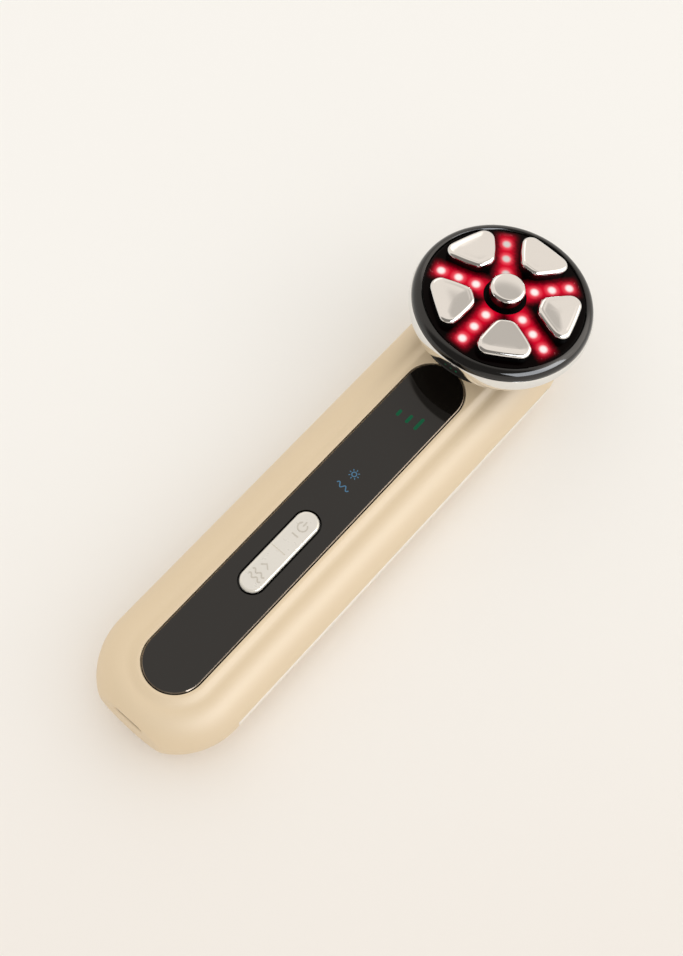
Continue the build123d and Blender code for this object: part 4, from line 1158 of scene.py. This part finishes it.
# Thermoplastic rubber: the shell's cream, a little duller.
plug_rubber = surface("cream_tpe_plug", "#DCC6A4", 0.6, 0.4, 0.005)
plug_rim = [(0, plug_low), (plug_radius, plug_low, plug_edge), (plug_radius, plug_high)]
plug_profile = [(0, plug_low)] + rounded(*plug_rim)[1:-1] + [(plug_radius, plug_high), (0, plug_high)]
plugs = on_case_screws(turned(plug_profile, hole_sides, False))
piece("screw_plugs", plugs, plug_rubber, "plug_rubber", ["screw_plugs"])

# ---------------------------------------------------------------- floor, light and camera
# A pale seamless table, painted matt, with painted shade: its colour darkens a little towards its front
# edge, where the light falls off. A broad softbox stands to its right in a bright room, and the camera
# looks down on it.
table_size = 3.0
# Matt paint: pale, with almost no gloss, and darker towards the front as painted shade.
floor_white = surface("matt_white_table", "#F6F2ED", 0.7, 1.0, 0.002, 0.004, 0.05, Specular_IOR_Level=0.2)
paint = floor_white.node_tree
where = add(paint, "ShaderNodeTexCoord").outputs["Object"]
# Painted shade: the table's colour darkens towards its front edge, where the light falls off.
front_way = add(paint, "ShaderNodeVectorMath", {0: where, 1: (0.67, -0.74, 0)}, operation="DOT_PRODUCT")
falloff_span = {"Value": front_way, "From Min": -0.08, "From Max": 0.2}
painted_falloff = add(paint, "ShaderNodeMapRange", falloff_span, interpolation_type="SMOOTHSTEP")
pale, deep = linear("#F6F3EE"), linear("#EEE7DF")
table_colour = add(paint, "ShaderNodeMix", {0: painted_falloff, 6: pale, 7: deep}, data_type="RGBA")
paint.links.new(table_colour.outputs[2], paint.nodes["Principled BSDF"].inputs["Base Color"])
table_form = bmesh.new()
bmesh.ops.create_grid(table_form, x_segments=1, y_segments=1, size=table_size)
table_mesh = baked(table_form)
table_mesh.materials.append(floor_white)
stand_in(table_mesh, "table")

world = bpy.data.worlds.new("studio")
bpy.context.scene.world = world
world.use_nodes = True
sky = world.node_tree
outlook = add(sky, "ShaderNodeTexCoord").outputs["Generated"]
# Each part of the room has a direction, the cosines at which it begins and is whole, and two levels.
# Matt faces are lit by the soft room alone. Gloss and polished metal see the rest as well: a dimmer
# patch where the ceiling's lamps are off, two bright windows, and the darker place where whoever
# works at the table stands.
room = {}
for name, direction, near, far, low, high in (
    ("soft", (0.8, 0.4, 0.45), -1.0, 1.0, 0.98, 1.02),
    ("patch", (-0.15, 0.55, 0.82), 0.975, 0.992, 1.0, 0.64),
    ("table_side", (0.587, -0.81, 0), -0.08, 0.22, 0.0, 0.75),
    ("above_table", (0, 0, 1), 0.12, 0.3, 0.0, 1.0),
    ("person", (-0.15, -0.95, 0.25), 0.72, 0.93, 0.0, 0.75),
    ("window", (0.65, 0.6, 0.47), 0.78, 0.95, 0.0, 2.4),
    ("second_window", (-0.65, 0.55, 0.52), 0.93, 0.985, 0.0, 1.7),
):
    way = Vector(direction).normalized()
    facing = add(sky, "ShaderNodeVectorMath", {0: outlook, 1: way}, operation="DOT_PRODUCT")
    limits = {"From Min": near, "From Max": far, "To Min": low, "To Max": high}
    level_of = {"Value": facing, **limits}
    room[name] = add(sky, "ShaderNodeMapRange", level_of, interpolation_type="SMOOTHSTEP")
dark = add(sky, "ShaderNodeMath", {0: room["table_side"], 1: room["above_table"]}, operation="MULTIPLY")
dark = add(sky, "ShaderNodeMath", {0: dark, 1: room["person"]}, operation="MAXIMUM")
shine = add(sky, "ShaderNodeMath", {0: 1.0, 1: dark}, operation="SUBTRACT")
shine = add(sky, "ShaderNodeMath", {0: shine, 1: room["patch"]}, operation="MULTIPLY")
for name in ("window", "second_window"):
    shine = add(sky, "ShaderNodeMath", {0: shine, 1: room[name]}, operation="MAXIMUM")
# The level and colour of the room for matt faces, then for gloss, then for the camera.
seen_by = add(sky, "ShaderNodeLightPath").outputs
level, hue = room["soft"], linear("#FFFEFC")
for kind, brightness, tint in (
    ("Is Glossy Ray", shine, linear("#FFF7EE")),
    ("Is Camera Ray", 0.96, linear("#FFFCF5")),
):
    level = add(sky, "ShaderNodeMix", {0: seen_by[kind], 2: level, 3: brightness})
    hue = add(sky, "ShaderNodeMix", {0: seen_by[kind], 6: hue, 7: tint}, data_type="RGBA")
sky.links.new(hue.outputs[2], sky.nodes["Background"].inputs["Color"])
sky.links.new(level.outputs[0], sky.nodes["Background"].inputs["Strength"])

# The broad softbox gives the shadow. The strip beside it only shows in gloss, as a long highlight.
for name, wide, high, energy, tint, spot, on_matt in (
    ("softbox", 0.9, 0.6, 0.9, (1.0, 0.985, 0.96), (1.15, 0.65, 1.0), True),
    ("strip_light", 1.6, 1.0, 33.0, (0.96, 1.0, 1.06), (1.3, 0.0, 0.85), False),
):
    lamp = bpy.data.lights.new(name, "AREA")
    lamp.shape, lamp.size, lamp.size_y, lamp.energy = "RECTANGLE", wide, high, energy
    lamp.color = tint
    lamp_head = stand_in(lamp, name)
    lamp_head.location = spot
    lamp_head.rotation_euler = (-lamp_head.location).to_track_quat("-Z", "Y").to_euler()
    lamp_head.visible_diffuse = on_matt

lens = bpy.data.cameras.new("camera")
lens.lens, lens.sensor_width, lens.sensor_fit = 58.49, 36.0, "AUTO"
camera = stand_in(lens, "camera")
camera_place = Matrix.Translation((0.083512, -0.127161, 0.380715))
right = Vector((0.75223, 0.65698, 0.05035))
down = Vector((0.62138, -0.6819, -0.38588))
ahead = Vector((-0.21918, 0.32155, -0.92117))
camera.matrix_world = camera_place @ Matrix((right, -down, -ahead)).transposed().to_4x4()
bpy.context.scene.camera = camera
bpy.context.scene.view_settings.view_transform = "Standard"
